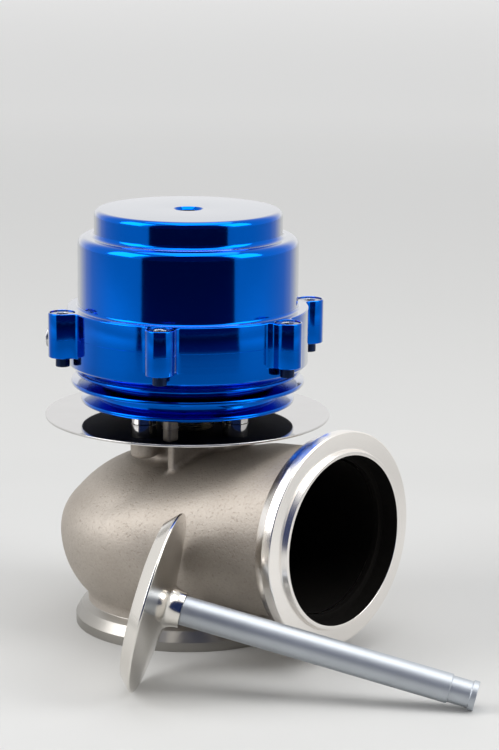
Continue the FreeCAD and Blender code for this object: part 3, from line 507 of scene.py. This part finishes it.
def rows_of(items, field):
    """A vector field of a mesh's vertices or faces, as the rows of an array."""
    flat = np.empty(len(items) * 3)
    items.foreach_get(field, flat)
    return flat.reshape(-1, 3)


def repaint(mesh, material, chosen):
    """Give the faces that a test picks a material of their own."""
    mesh.materials.append(material)
    for face in mesh.polygons:
        if chosen(face):
            face.material_index = 1


def softened(outline, size, closed=True, steps=4):
    """An outline of (radius, height) with its corners rounded by that size, or by their own."""
    made = []
    for index, point in enumerate(outline):
        here = np.array(point[:2], float)
        radius = point[2] if len(point) > 2 else size
        if radius == 0 or (not closed and index in (0, len(outline) - 1)):
            made.append(tuple(here))
            continue
        before = np.array(outline[index - 1][:2], float) - here
        after = np.array(outline[(index + 1) % len(outline)][:2], float) - here
        lengths = np.linalg.norm(before), np.linalg.norm(after)
        before, after = before / lengths[0], after / lengths[1]
        half = math.acos(np.clip(before @ after, -1, 1)) / 2
        reach = min(radius / math.tan(half), 0.6 * min(lengths))
        weight = math.sin(half)
        for step in range(steps + 1):
            t = step / steps
            shares = (1 - t) ** 2, 2 * weight * t * (1 - t), t ** 2
            spot = shares[0] * before * reach + shares[2] * after * reach
            made.append(tuple(here + spot / sum(shares)))
    return made


def skin(soft, rows):
    """Join rows of points, in millimetres, with quads; returns their vertices."""
    made = [[soft.verts.new(Vector(spot) * MM) for spot in row] for row in rows]
    for low, high in zip(made, made[1:]):
        for index, corner in enumerate(low):
            nxt = (index + 1) % len(low)
            soft.faces.new((corner, low[nxt], high[nxt], high[index]))
    return made


def cap(soft, *loops):
    """Fill the flat area between an outer loop of vertices and the loops inside it."""
    corners = [corner for loop in loops for corner in loop]
    for triangle in tessellate_polygon([[corner.co / MM for corner in loop] for loop in loops]):
        soft.faces.new([corners[index] for index in triangle])


def circle(radius, height, centre=(0, 0), count=192):
    """Points of a level circle."""
    spots = (polar(radius, 2 * math.pi * index / count) for index in range(count))
    return [(centre[0] + x, centre[1] + y, height) for x, y in spots]


def finish_skin(soft, name, body, material):
    """Clean a bmesh and turn it into an object that rides on a body."""
    bmesh.ops.remove_doubles(soft, verts=soft.verts, dist=1e-6)
    bmesh.ops.dissolve_degenerate(soft, dist=1e-6, edges=soft.edges)
    bmesh.ops.recalc_face_normals(soft, faces=soft.faces)
    return dressed(name, mesh_of(soft, name), body, material, 33)


def lathe(name, outline, body, material, axis=STEM_AXIS, segments=192, lead=0.0):
    """Turn a closed outline about an axis; a lead shifts each turn along it, as a thread's does."""
    origin, direction = Vector(axis[0]), Vector(axis[1])
    turn = direction.to_track_quat("Z", "Y").to_matrix()
    verts, rows = [], segments + 1 if lead else segments
    for row in range(rows):
        for radius, height in outline:
            spot = *polar(radius, 2 * math.pi * row / segments), height + lead * row / segments
            verts.append(tuple(origin + turn @ Vector(spot)))
    return piece(name, verts, grid(rows, len(outline), not lead), body, material)


def joined_up(node):
    """A bmesh of the CAD node with its doubled points joined."""
    soft = bmesh.new()
    soft.from_mesh(frame["nodes"][node].data)
    bmesh.ops.remove_doubles(soft, verts=soft.verts, dist=2e-6)
    return soft


def welded(node):
    """A bmesh of the CAD node with its flat faces merged as well."""
    soft = joined_up(node)
    bmesh.ops.dissolve_limit(soft, angle_limit=math.radians(0.3), verts=soft.verts,
                             edges=soft.edges, delimit=set())
    return soft


def drop_attributes(mesh, *names):
    """Remove the attributes of those names, where the mesh has them."""
    for name in names:
        if name in mesh.attributes:
            mesh.attributes.remove(mesh.attributes[name])


def eased(name, node, material, width, corner=30):
    """The CAD node's form in place of the node, its edges past the corner angle broken."""
    soft = welded(node)
    weights = soft.edges.layers.float.new("bevel_weight_edge")
    for edge in soft.edges:
        if len(edge.link_faces) == 2 and edge.calc_face_angle(0.0) >= math.radians(corner):
            edge[weights] = 1.0
    mesh = mesh_of(soft, name)
    drop_attributes(mesh, "custom_normal", "sharp_edge")
    obj = linked(name, mesh)
    paint(mesh, material)
    modify(obj, "BEVEL", limit_method="WEIGHT", width=width * MM, segments=2,
           use_clamp_overlap=False)
    obj.data.set_sharp_from_angle(angle=math.radians(corner + 15))
    modify(obj, "WEIGHTED_NORMAL", weight=100, keep_sharp=True)
    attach(obj, frame["nodes"][node]["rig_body"])
    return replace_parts(obj, node)


def modify(obj, kind, **settings):
    """Add a modifier with these settings and apply it."""
    added = obj.modifiers.new(kind.lower(), kind)
    for key, value in settings.items():
        setattr(added, key, value)
    evaluated = obj.evaluated_get(bpy.context.evaluated_depsgraph_get())
    mesh = bpy.data.meshes.new_from_object(evaluated)
    obj.modifiers.clear()
    obj.data = mesh
    return obj


def ear_spots():
    """Where the ears' screws stand."""
    return [polar(EAR_CIRCLE, number * math.pi / 3) for number in range(EARS)]


def thread(name, radius, depth, pitch, low, high, spot, body, material):
    """A helical thread round an upright screw at (x, y)."""
    outline = [(radius - 2 * depth, low)]
    turns = max(1, int((high - low) / pitch) - 1)
    for index in range(turns):
        base = low + index * pitch
        outline += [(radius - depth, base + 0.05 * pitch), (radius, base + 0.45 * pitch),
                    (radius, base + 0.60 * pitch)]
    end = low + turns * pitch
    outline += [(radius - depth, end), (radius - 2 * depth, end)]
    return lathe(name, outline, body, material, ((*spot, 0), (0, 0, 1)), 32, pitch)


# Operators, one for each piece or group of like pieces

class WASTEGATE_OT_cast_body(bpy.types.Operator):
    """Cast housing: one blended skin with a rough outside and an inside painted near-black as shade
    """

    bl_idname = "wastegate.cast_body"
    bl_label = "Cast body"

    def execute(self, context):
        """Remesh the solid without its flanges, blend its corners and part inside from outside."""
        cast = context.scene.wastegate_cast
        obj = self.rough_skin(cast.voxel)
        self.blend(obj, cast.passes)
        self.trim(obj)
        # The second material paints the faces inside near-black as shade
        paint(obj.data, cast_skin(), painted_shade_wall())
        self.part_inside(obj.data)
        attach(obj, ROOT)
        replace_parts(obj, "valve_housing")
        return {"FINISHED"}

    @staticmethod
    def rough_skin(step):
        """The housing's solid, its clamp flanges shrunk to their tubes, as even cells."""
        soft = joined_up("valve_housing")
        for vert in soft.verts:
            x, y, z = (c / MM for c in vert.co)
            from_axis = math.hypot(y, z - OUTLET_HEIGHT)
            if x > FLANGE_BACK - 0.4 and from_axis > DUCT_TUBE:
                vert.co.y = y * DUCT_TUBE / from_axis * MM
                vert.co.z = (OUTLET_HEIGHT + (z - OUTLET_HEIGHT) * DUCT_TUBE / from_axis) * MM
            from_stem = math.hypot(x, y)
            if z < NECK_END and from_stem > NECK_TUBE:
                vert.co.x = x * NECK_TUBE / from_stem * MM
                vert.co.y = y * NECK_TUBE / from_stem * MM
        obj = linked("cast_body", mesh_of(soft, "cast_body"))
        return modify(obj, "REMESH", mode="VOXEL", voxel_size=step * MM)

    @staticmethod
    def blend(obj, passes):
        """Smooth the skin, less near the machined ends, the deck and the gusset."""
        group = obj.vertex_groups.new(name="cast")
        x, y, z = rows_of(obj.data.vertices, "co").T / MM
        from_flange = np.clip((FLANGE_BACK + 1.1 - x) / 5, 0, 1)
        from_neck_end = np.clip((z - 8.0) / 3, 0, 1)
        weight = from_flange * from_neck_end * np.where(z > DECK - 1.5, 0.25, 1.0)
        near_gusset = (abs(x - STOP_LUG[0]) < 3.2) & (y < -14) & (y > -26)
        weight *= np.where(near_gusset, 1.0 - 0.8 * np.clip((z - 61.0) / 3, 0, 1), 1.0)
        weight = np.round(weight, 1)
        for step in np.unique(weight):
            group.add(np.flatnonzero(weight == step).tolist(), float(step), "REPLACE")
        modify(obj, "SMOOTH", factor=0.5, iterations=passes, vertex_group="cast")

    @staticmethod
    def trim(obj):
        """Drop what the flange rings cover, and keep the top under the shield."""
        soft = bmesh.new()
        soft.from_mesh(obj.data)
        hidden = [v for v in soft.verts if v.co.z < 5.5 * MM or v.co.x > (FLANGE_BACK + 1.4) * MM]
        bmesh.ops.delete(soft, geom=hidden, context="VERTS")
        for vert in soft.verts:
            if math.dist(vert.co.xy / MM, STOP_LUG) >= 4.2:
                vert.co.z = min(vert.co.z, (DECK - 0.03) * MM)
        soft.to_mesh(obj.data)
        soft.free()

    @staticmethod
    def part_inside(mesh):
        """Give the faces that look towards the gas way's middle line the near-black material of
        painted shade.
        """
        centre, normal = rows_of(mesh.polygons, "center") / MM, rows_of(mesh.polygons, "normal")
        heart = np.array([0.0, 0.0, 36.0])
        way = np.array([OUTLET_END, 0.0, OUTLET_HEIGHT]) - heart
        t = np.clip(((centre - heart) @ way) / (way @ way), 0, 1)
        nearest = heart + t[:, None] * way
        in_neck = (centre[:, 2] < 20) & (t < 0.3)
        nearest[in_neck] = centre[in_neck] * [0, 0, 1]
        out = centre - nearest
        facing = (out * normal).sum(1) / np.maximum(np.linalg.norm(out, axis=1), 1e-6)
        inside = (facing < -0.25) & ((centre[:, 2] < 60) | (centre[:, 0] > 30))
        mesh.polygons.foreach_set("material_index", inside.astype(np.int32))


class WASTEGATE_OT_clamp_flanges(bpy.types.Operator):
    """Machined rings of the inlet and outlet clamp flanges"""

    bl_idname = "wastegate.clamp_flanges"
    bl_label = "Clamp flanges"

    def execute(self, context):
        """Turn both rings with small rounds on their edges."""
        steel = context.scene.wastegate_steel
        inlet = softened([
            (33.42, 0.0), (40.4, 0.0), (40.4, 3.4), (38.3, 7.0, 0.5), (35.95, 8.6, 0.8),
            (35.3, 9.8, 0), (32.5, 9.8, 0), (32.5, 6.85, 0), (33.42, 6.8, 0)], steel.edge)
        ring = lathe("inlet_flange", inlet, ROOT,
                     turned_steel("inlet_facing", STEM_AXIS, (0.36, 0.345, 0.32), 0.34, 2.2))
        end = OUTLET_END
        outlet = softened([
            (27.65, end - 8.9, 0), (27.65, end - 6.6), (OUTLET_BORE, end - 6.6),
            (OUTLET_BORE, end, 0.12),
            (31.3, end, 0.15), (31.9, end - 2.0, 0.2), (38.1, end - 2.0, 0.45), (38.1, end - 5.6),
            (36.6, end - 9.6), (30.6, end - 9.6, 0), (30.6, end - 8.9, 0)], steel.edge)
        ring = lathe("outlet_flange", outlet, ROOT,
                     turned_steel("outlet_facing", OUTLET_AXIS, steel.flange, 0.22),
                     OUTLET_AXIS)
        # Painted shade: the bore behind the lip gets the near-black inner wall
        repaint(ring.data, painted_shade_wall(), self.in_bore)
        return {"FINISHED"}

    @staticmethod
    def in_bore(face):
        """Whether a face lies in the bore behind the lip, which gets the same painted shade as the
        wall within.
        """
        radius = math.hypot(face.center.y, face.center.z - OUTLET_HEIGHT * MM)
        return radius < (OUTLET_BORE + 0.02) * MM and face.center.x < (OUTLET_END - 0.3) * MM


class WASTEGATE_OT_actuator_shells(bpy.types.Operator):
    """Anodised actuator base and cover"""

    bl_idname = "wastegate.actuator_shells"
    bl_label = "Actuator shells"

    def execute(self, context):
        """Build both shells round the six-eared ring, with the side port's boss and the thread."""
        blue = context.scene.wastegate_blue
        for node, build in (("actuator_cover", self.cover), ("actuator_base", self.base)):
            soft = bmesh.new()
            build(soft, blue.edge, blue.seam)
            shell = finish_skin(soft, f"{node}_shell", ROOT, blue_anodised())
            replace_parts(shell, node)
        bearing, height = math.radians(210), 102.9
        port_axis = ((0, 0, height), (*polar(1, bearing), 0))
        boss = lathe("side_port_boss", softened([(2.6, 40, 0), (4.4, 40, 0), (4.4, 48.6, 0.3),
                                                 (2.6, 48.6, 0.2)], 0), ROOT, blue_anodised(),
                     port_axis, 64)
        # Painted shade: the downward faces at the bottom of the base get a near-black navy in place
        # of the anodised blue
        shade = matt("painted_shade_underside", (0.002, 0.004, 0.016), (0.004, 0.007, 0.024), 0.4, 3.0,
                     0.6, 0.1)
        repaint(shell.data, shade, lambda face: (
            face.normal.z < -0.9 and face.center.z < (FIN_BOTTOM + 0.3) * MM))
        port = thread("top_port_thread", PORT_THREAD, 0.32, 1.0, TOP_OF_CAN - 3.2,
                      TOP_OF_CAN - 0.6, (0, 0), ROOT, blue_anodised())
        self.turn_inwards(port.data)
        return {"FINISHED"}

    @staticmethod
    def eared(inset, height):
        """The outline of ring and ears, drawn in by an inset, always with the same points."""
        ring, ear, blend = RING - inset, EAR - inset, EAR_BLEND + inset
        middle = math.sqrt((ring + blend) ** 2 - (ear + blend) ** 2)
        lean = math.atan2(ear + blend, middle)
        arcs = [((middle, -ear - blend), blend, math.pi - lean, math.pi / 2, 7),
                ((EAR_CIRCLE, 0), ear, -math.pi / 2, math.pi / 2, 24),
                ((middle, ear + blend), blend, -math.pi / 2, lean - math.pi, 7),
                ((0, 0), ring, lean, math.pi / 3 - lean, 34)]
        points = []
        for number in range(EARS):
            turn = complex(*polar(1, number * math.pi / 3))
            for centre, radius, first, last, steps in arcs:
                for step in range(steps):
                    angle = first + (last - first) * step / (steps - (radius != ring))
                    spot = (complex(*centre) + complex(*polar(radius, angle))) * turn
                    points.append((spot.real, spot.imag, height))
        return points

    def cover(self, soft, edge, seam):
        """Ring with ears and screw pockets, stepped can with its port, and the hollow inside."""
        wall = skin(soft, [self.eared(seam, PARTING), self.eared(0, PARTING + seam)]
                    + [self.eared(inset * edge, RING_TOP - off * edge) for inset, off in ROUNDED])
        outline = softened([
            (41.7, RING_TOP), (CAN, RING_TOP, 0.9), (CAN, SHOULDER, 3.0), (BOSS, SHOULDER, 1.6),
            (BOSS, TOP_OF_CAN, 2.2), (PORT + 1, TOP_OF_CAN, 0.1), (PORT, TOP_OF_CAN - 1, 0.1),
            (PORT, CEILING, 0), (BOSS - 3.05, CEILING, 0), (BOSS - 3.05, SHOULDER - 3.2, 0),
            (CHAMBER, SHOULDER - 3.2, 0), (CHAMBER, PARTING)], 0, closed=False, steps=7)
        can = skin(soft, [circle(radius, height) for radius, height in outline])
        mouths = []
        steps = ((SCREW_POCKET + 0.1, RING_TOP), (SCREW_POCKET, RING_TOP - 0.1),
                 (SCREW_POCKET, SCREW_SEAT))
        for spot in ear_spots():
            pocket = skin(soft, [circle(*step, spot, 48) for step in steps])
            soft.faces.new(pocket[-1])
            mouths.append(pocket[0])
        cap(soft, wall[-1], can[0], *mouths)
        cap(soft, wall[0], can[-1])

    def base(self, soft, edge, seam):
        """Ring with ears over the cooling fins, and the pressure chamber inside."""
        plain = self.eared(0, 0)
        over = [min(max(math.hypot(x, y) - RING, 0), 1) for x, y, _ in plain]

        def underside(inset, height):
            drawn = self.eared(inset, height)
            return [(x + (a - x) * share, y + (b - y) * share, height)
                    for (x, y, _), (a, b, _), share in zip(plain, drawn, over)]

        def turned(radius, height):
            return [(*polar(radius, math.atan2(y, x)), height) for x, y, _ in plain]

        outline = softened([
            (RING, EAR_BOTTOM), (RING, 96.9, 0.6), (41.2, 94.9, 0.5), (38.3, 94.9), (38.3, 94.0),
            (40.3, 94.0, 0.42), (40.3, 93.0, 0.42), (33.5, 92.3), (33.5, 91.1),
            (41.9, 90.4, 0.55), (41.9, 89.0, 0.55), (33.5, 87.6), (33.5, 85.3),
            (38.35, 83.9, 0.55), (38.35, 82.5, 0.55), (5.6, 82.5, 0), (5.6, 90, 0), (9, 90, 0),
            (9, 98, 0), (CHAMBER, 98, 0), (CHAMBER, 106.5, 0), (40.6, 106.5, 0), (40.6, PARTING)],
            0.25, closed=False)
        rows = [self.eared(seam, PARTING), self.eared(0, PARTING - seam)]
        rows += [underside(inset * edge, EAR_BOTTOM + off * edge) for inset, off in ROUNDED]
        made = skin(soft, rows + [turned(radius, height) for radius, height in outline])
        cap(soft, made[0], made[-1])

    @staticmethod
    def turn_inwards(mesh):
        """Mirror the thread's radius about the hole's wall, so that it cuts inwards."""
        for vert in mesh.vertices:
            radius = math.hypot(vert.co.x, vert.co.y)
            wanted = (PORT + PORT_THREAD) * MM - radius
            vert.co.x *= wanted / radius
            vert.co.y *= wanted / radius
        mesh.flip_normals()


class WASTEGATE_OT_screws(bpy.types.Operator):
    """Socket screws, washers, posts and port plug"""

    bl_idname = "wastegate.screws"
    bl_label = "Screws and posts"

    def execute(self, context):
        """Break the hardware's edges and cut threads where they show."""
        steel = context.scene.wastegate_steel
        bright = plain_hardware("bright_hardware", steel.hardware, 0.20)
        for node in ("cover_screws", "base_bolts", "bolt_washers", "port_plug"):
            eased(f"{node}_eased", node, bright, steel.edge)
        # Painted shade: the screw ends below the ears and their threads get a dark navy in place of
        # bright steel
        tip = plain_hardware("painted_shade_thread", (0.014, 0.026, 0.070), 0.30)
        radius, depth, pitch, length = 2.53, 0.30, 0.8, 5.0
        repaint(bpy.data.objects["cover_screws_eased"].data, tip,
                lambda face: face.center.z < (SCREW_SEAT - 1) * MM)
        post = turned_steel("polished_post", STEM_AXIS, (0.60, 0.59, 0.58), 0.10, 0.1)
        eased("spacer_posts_eased", "spacer_posts", post, steel.edge)
        copper = plain_hardware("copper_seal", (0.72, 0.36, 0.20), 0.3)
        eased("plug_seal_eased", "plug_seal", copper, 0.08)
        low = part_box("cover_screws")[0].z / MM
        # The threads carry the same painted shade as the screw ends
        for index, spot in enumerate(ear_spots()):
            cut = thread(f"cover_screw_thread_{index}", radius, depth, pitch, low + 0.06,
                         low + length, spot, ROOT, tip)
        return {"FINISHED"}


class WASTEGATE_OT_heat_shield(bpy.types.Operator):
    """Polished heat shield"""

    bl_idname = "wastegate.heat_shield"
    bl_label = "Heat shield"

    def execute(self, context):
        """Break the sheet's edges and give it a rolled mirror finish."""
        sheet = turned_steel("rolled_sheet", STEM_AXIS, (0.66, 0.65, 0.64), 0.045, 0.02, 1.2)
        shield = eased("heat_shield_eased", "heat_shield", sheet, 0.12)
        drop_attributes(shield.data, "custom_normal")
        for face in shield.data.polygons:
            face.use_smooth = abs(face.normal.z) < 0.999
        return {"FINISHED"}


def spare_axis():
    """The loose valve's axis, its origin where the fitted valve has the height zero."""
    stem, head = (rows_of(frame["nodes"][f"spare_valve_{part}"].data.vertices, "co") / MM
                  for part in ("stem", "head"))
    centre = stem.mean(0)
    direction = np.linalg.svd(stem - centre, full_matrices=False)[2][0]
    if direction @ (centre - head.mean(0)) < 0:
        direction = -direction
    along = (stem - centre) @ direction
    middle = np.ptp(along) / 2 + along.min()
    fitted = sum(corner.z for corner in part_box("valve_stem")) / 2 / MM
    origin = centre + direction * (middle - fitted)
    return tuple(float(c) for c in origin), tuple(float(c) for c in direction)


class WASTEGATE_OT_valves(bpy.types.Operator):
    """Fitted and loose valve, each a head and a stem"""

    bl_idname = "wastegate.valves"
    bl_label = "Valves"

    def execute(self, context):
        """Turn the heads bright and finish the stems satin, with marks round their own axes."""
        steel = context.scene.wastegate_steel
        face, rim, neck, socket, floor = 1.15, 31.1, 8.6, 4.02, 7.0
        hollow = [(neck - 2.5 * math.sin(t), 9.4 + 5.1 * (1 - math.cos(t)))
                  for t in np.linspace(0.15, math.pi / 2, 8)]
        outline = softened([(0, face, 0), (rim - 4, face, 0.5), (rim, face + 4, 0.35),
                            (rim, face + 4.65, 0.3), (neck + 2, 9.08, 3.0)]
                           + [(r, h, 0) for r, h in hollow]
                           + [(socket, hollow[-1][1], 0), (socket, floor, 0), (0, floor, 0)], 0)
        for prefix, body, axis in (("", MOVING, STEM_AXIS), ("spare_", LOOSE, spare_axis())):
            facing = turned_steel(f"{prefix}valve_facing", axis, (0.77, 0.74, 0.69), 0.16, 0.12,
                                  2.0)
            head = lathe(f"{prefix}valve_head_turned", outline, body, facing, axis)
            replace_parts(head, f"{prefix}valve_head")
            stem = ground_stem(f"{prefix}stem_grinding", axis)
            eased(f"{prefix}stem_eased", f"{prefix}valve_stem", stem, steel.edge)
        return {"FINISHED"}


class WASTEGATE_OT_inner_works(bpy.types.Operator):
    """Guide, seat, seals, piston and clamping parts inside"""

    bl_idname = "wastegate.inner_works"
    bl_label = "Inner works"

    def execute(self, context):
        """Give each inner part broken edges and its own finish."""
        steel = context.scene.wastegate_steel
        seat = turned_steel("seat_facing", STEM_AXIS, steel.flange, 0.18)
        guide = turned_steel("guide_facing", STEM_AXIS, (0.50, 0.42, 0.27), 0.28, 2.0)
        alloy = turned_steel("alloy_facing", STEM_AXIS, (0.74, 0.75, 0.77), 0.26, 2.4)
        bright = plain_hardware("bright_hardware", steel.hardware, 0.20)
        milky = matt("soft_plastic", (0.80, 0.79, 0.75), (0.70, 0.69, 0.64), 0.5, 2.0, 0.4, 0.5)
        plan = [("seat_ring", seat, "machined_steel"), ("stem_guide", guide, "guide_bronze"),
                ("stem_seal", milky, "seal_plastic"),
                ("seal_washer", bright, "screw_steel"), ("seal_circlip", bright, "screw_steel"),
                ("piston_cup", alloy, "plain_aluminium"),
                ("lower_plate", alloy, "plain_aluminium"),
                ("clamp_nut", alloy, "plain_aluminium"),
                ("split_collet", seat, "machined_steel"), ("collet_cap", bright, "screw_steel")]
        for node, material, slot in plan:
            eased(f"{node}_eased", node, material, 0.15)
        return {"FINISHED"}


class WASTEGATE_OT_diaphragm(bpy.types.Operator):
    """Rolling diaphragm"""

    bl_idname = "wastegate.diaphragm"
    bl_label = "Diaphragm"

    def execute(self, context):
        """Copy the cup's form between bead and piston, its flat faces merged, and give it the woven
        rubber.
        """
        mesh = mesh_of(welded("diaphragm"), "diaphragm_rubber")
        paint(mesh, woven_rubber())
        mesh.set_sharp_from_angle(angle=math.radians(40))
        obj = linked("diaphragm_rubber", mesh)
        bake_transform(obj)
        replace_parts(obj, "diaphragm")
        return {"FINISHED"}


class WASTEGATE_OT_springs(bpy.types.Operator):
    """Two coil springs with ground ends"""

    bl_idname = "wastegate.springs"
    bl_label = "Springs"

    def execute(self, context):
        """Wind each wire between the piston and the cover's roof."""
        for node, coil, wire, turns in (("outer_spring", 27.4, 4.0, 4.0),
                                        ("inner_spring", 18.0, 3.0, 5.0)):
            low, high = (corner.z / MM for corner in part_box(node))
            spring = self.wind(f"{node}_wire", coil, wire, turns, low, high)
            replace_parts(spring, node)
            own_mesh(spring)
        return {"FINISHED"}

    @staticmethod
    def wind(name, coil, wire, turns, low, high):
        """A helical wire whose ends are ground flat."""
        around, halves = 20, round(2 * turns)
        steps, rise = 36 * halves, (high - low) / halves
        verts = []
        for step in range(steps + 1):
            angle = math.pi * halves * step / steps
            number = min(step // 36, halves - 1)
            share = (1 - math.cos(angle - math.pi * number)) / 2
            lean = math.atan(rise / 2 / coil * math.sin(angle - math.pi * number))
            for spoke in range(around):
                phi = 2 * math.pi * spoke / around
                radius = coil + wire / 2 * math.cos(phi)
                up = wire / 2 * math.sin(phi)
                turn = angle - up * math.sin(lean) / radius
                z = min(max(low + rise * (number + share) + up * math.cos(lean), low), high)
                verts.append((*polar(radius, turn), z))
        ends = [tuple(range(around)), tuple(reversed(range(steps * around, len(verts))))]
        return piece(name, verts, grid(steps + 1, around, False) + ends, ROOT, spring_wire(), 50)


class WASTEGATE_OT_stage(bpy.types.Operator):
    """Pale floor, soft studio light and camera"""

    bl_idname = "wastegate.stage"
    bl_label = "Stage"

    def execute(self, context):
        """Lay the floor, light the room and set up the camera."""
        look = context.scene.wastegate_stage
        self.lay_floor(look)
        self.lay_dark_card()
        self.light_room(context.scene, look)
        for name, spot, size, share in LAMPS:
            self.hang_lamp(name, spot, size, share * look.key)
        self.set_camera(context.scene, look)
        context.scene.view_settings.view_transform = "Standard"
        return {"FINISHED"}

    @staticmethod
    def flat(name, corners):
        """A flat object from its corners in metres."""
        mesh = bpy.data.meshes.new(name)
        mesh.from_pydata(corners, [], [tuple(range(len(corners)))])
        return linked(name, mesh)

    def lay_floor(self, look):
        """A wide round floor, painted darker as shade near the object where the actuator mirrors
        it, and with a painted glow that grows with distance.
        """
        floor = self.flat("floor", circle(12, 0, count=96))
        shader = Shader("floor_paint")
        mottle = shader.noise(shader.place(), 0.002)
        radius = shader.about(STEM_AXIS)[0]
        forward = shader.vector("DOT_PRODUCT", shader.place(), TO_CAMERA, output=1)
        # Painted shade: the floor darkens in a ring round the object, mostly on the camera's side
        near = shader.ramp(radius * 0.001, (0.20, 0.0), (0.36, 1.0), (0.60, 1.0), (0.95, 0.0))
        dim = near * shader.ramp(forward * 0.001 + 0.5, (0.25, 0.0), (0.45, 1.0))
        # Painted light: the floor glows more the farther it lies from the object, standing in for
        # lamp light
        glow = shader.ramp(radius * 0.0003, (0.05, 0.0), (0.2, 0.10), (0.5, 0.34), (1.0, 0.46))
        pale = shader.mix(mottle * 0.3, look.floor, dimmed(look.floor, 0.97))
        floor.data.materials.append(shader.surface(
            base_color=shader.mix(dim, pale, dimmed(look.floor, 0.62)),
            roughness=0.55, specular_ior_level=0.25, emission_color=glow, emission_strength=1.0))

    def lay_dark_card(self):
        """A dark card on the floor, well in front, that only reflections show."""
        front, reach = math.atan2(TO_CAMERA[1], TO_CAMERA[0]), math.radians(48)
        turns = [front + reach * (step / 12 - 1) for step in range(25)]
        card = self.flat("dark_card", [
            (*polar(radius, turn), 0.001)
            for radius, order in ((0.57, 1), (9.0, -1)) for turn in turns[::order]])
        shader = Shader("dark_card_paint")
        mottle = shader.noise(shader.place(), 0.01)
        card.data.materials.append(shader.surface(
            base_color=shader.mix(mottle, (0.012, 0.026, 0.105), (0.015, 0.031, 0.125)),
            roughness=0.9, specular_ior_level=0.0))
        for rays in ("camera", "diffuse", "shadow", "transmission"):
            setattr(card, f"visible_{rays}", False)

    @staticmethod
    def light_room(scene, look):
        """A pale room with a dark part behind the camera, which bright metal mirrors as a band."""
        world = bpy.data.worlds.new("room")
        scene.world = world
        world.use_nodes = True
        shader = Shader("room", world.node_tree)
        way = shader.node("ShaderNodeTexCoord", output="Generated")
        level = shader.vector("MULTIPLY", way, (1.0, 1.0, 0.55))
        front = shader.vector("DOT_PRODUCT", shader.vector("NORMALIZE", level), TO_CAMERA,
                              output=1)
        dark = shader.ramp(front, (0.645, 0.0), (0.675, 1.0))
        seen, glossy = (shader.node("ShaderNodeLightPath", output=f"Is {kind} Ray")
                        for kind in ("Camera", "Glossy"))
        mirrored = shader.mix(dark, (0.95, 0.95, 0.955), (0.012, 0.026, 0.10))
        lit = shader.mix(glossy, (look.fill,) * 3, mirrored)
        shown = shader.mix(seen, lit, (0.82, 0.82, 0.82))
        ground = shader.node("ShaderNodeBackground", {}, {"Color": shown})
        shader.node("ShaderNodeOutputWorld", {}, {"Surface": ground})

    @staticmethod
    def hang_lamp(name, spot, size, power):
        """A large soft lamp that looks at the object."""
        light = bpy.data.lights.new(name, "AREA")
        light.shape = "RECTANGLE"
        light.size, light.size_y = size
        light.energy = power
        lamp = linked(name, light)
        lamp.location = spot
        aim = Vector((0.02, -0.02, 0.075)) - Vector(spot)
        lamp.rotation_euler = aim.to_track_quat("-Z", "Y").to_euler()

    @staticmethod
    def set_camera(scene, look):
        """The photograph's view, fitted to the object's round edges."""
        data = bpy.data.cameras.new("camera")
        data.lens = look.lens
        data.clip_start, data.clip_end = 0.05, 40
        camera = linked("camera", data)
        yaw, pitch, roll, turned = (math.radians(a) for a in (1.39243, 12.08974, 0.54771, 41.9))
        ahead = Vector((math.sin(yaw) * math.cos(pitch), math.cos(yaw) * math.cos(pitch),
                        -math.sin(pitch)))
        right = Vector((math.cos(yaw), -math.sin(yaw), 0))
        up = right.cross(ahead)
        across = right * math.cos(roll) + up * math.sin(roll)
        above = up * math.cos(roll) - right * math.sin(roll)
        basis = Matrix((across, above, -ahead)).transposed()
        camera.matrix_world = Matrix.Translation(look.spot) @ (
            Matrix.Rotation(turned, 3, "Z") @ basis).to_4x4()
        scene.camera = camera


class WASTEGATE_PT_panel(bpy.types.Panel):
    """Sidebar panel with the pieces in the order in which they are made"""

    bl_idname = "WASTEGATE_PT_panel"
    bl_label = "Wastegate"
    bl_space_type = "VIEW_3D"
    bl_region_type = "UI"
    bl_category = "Wastegate"

    def draw(self, context):
        """List the operators and the settings."""
        for step in STEPS:
            self.layout.operator(step.bl_idname)
        for name, group in SETTINGS.items():
            box = self.layout.box()
            for field in group.__annotations__:
                box.prop(getattr(context.scene, name), field)


STEPS = (WASTEGATE_OT_cast_body, WASTEGATE_OT_clamp_flanges, WASTEGATE_OT_actuator_shells,
         WASTEGATE_OT_screws, WASTEGATE_OT_heat_shield, WASTEGATE_OT_valves,
         WASTEGATE_OT_inner_works, WASTEGATE_OT_diaphragm, WASTEGATE_OT_springs,
         WASTEGATE_OT_stage)


def register():
    """Register the settings, the operators and the panel."""
    for name, group in SETTINGS.items():
        bpy.utils.register_class(group)
        setattr(bpy.types.Scene, name, PointerProperty(type=group))
    for step in (*STEPS, WASTEGATE_PT_panel):
        bpy.utils.register_class(step)


def unregister():
    """Undo what register did."""
    for step in reversed((*STEPS, WASTEGATE_PT_panel)):
        bpy.utils.unregister_class(step)
    for name, group in SETTINGS.items():
        delattr(bpy.types.Scene, name)
        bpy.utils.unregister_class(group)


def main():
    """Make every piece in order."""
    register()
    for step in STEPS:
        section, action = step.bl_idname.split(".")
        getattr(getattr(bpy.ops, section), action)()


if __name__ == "__main__":
    main()
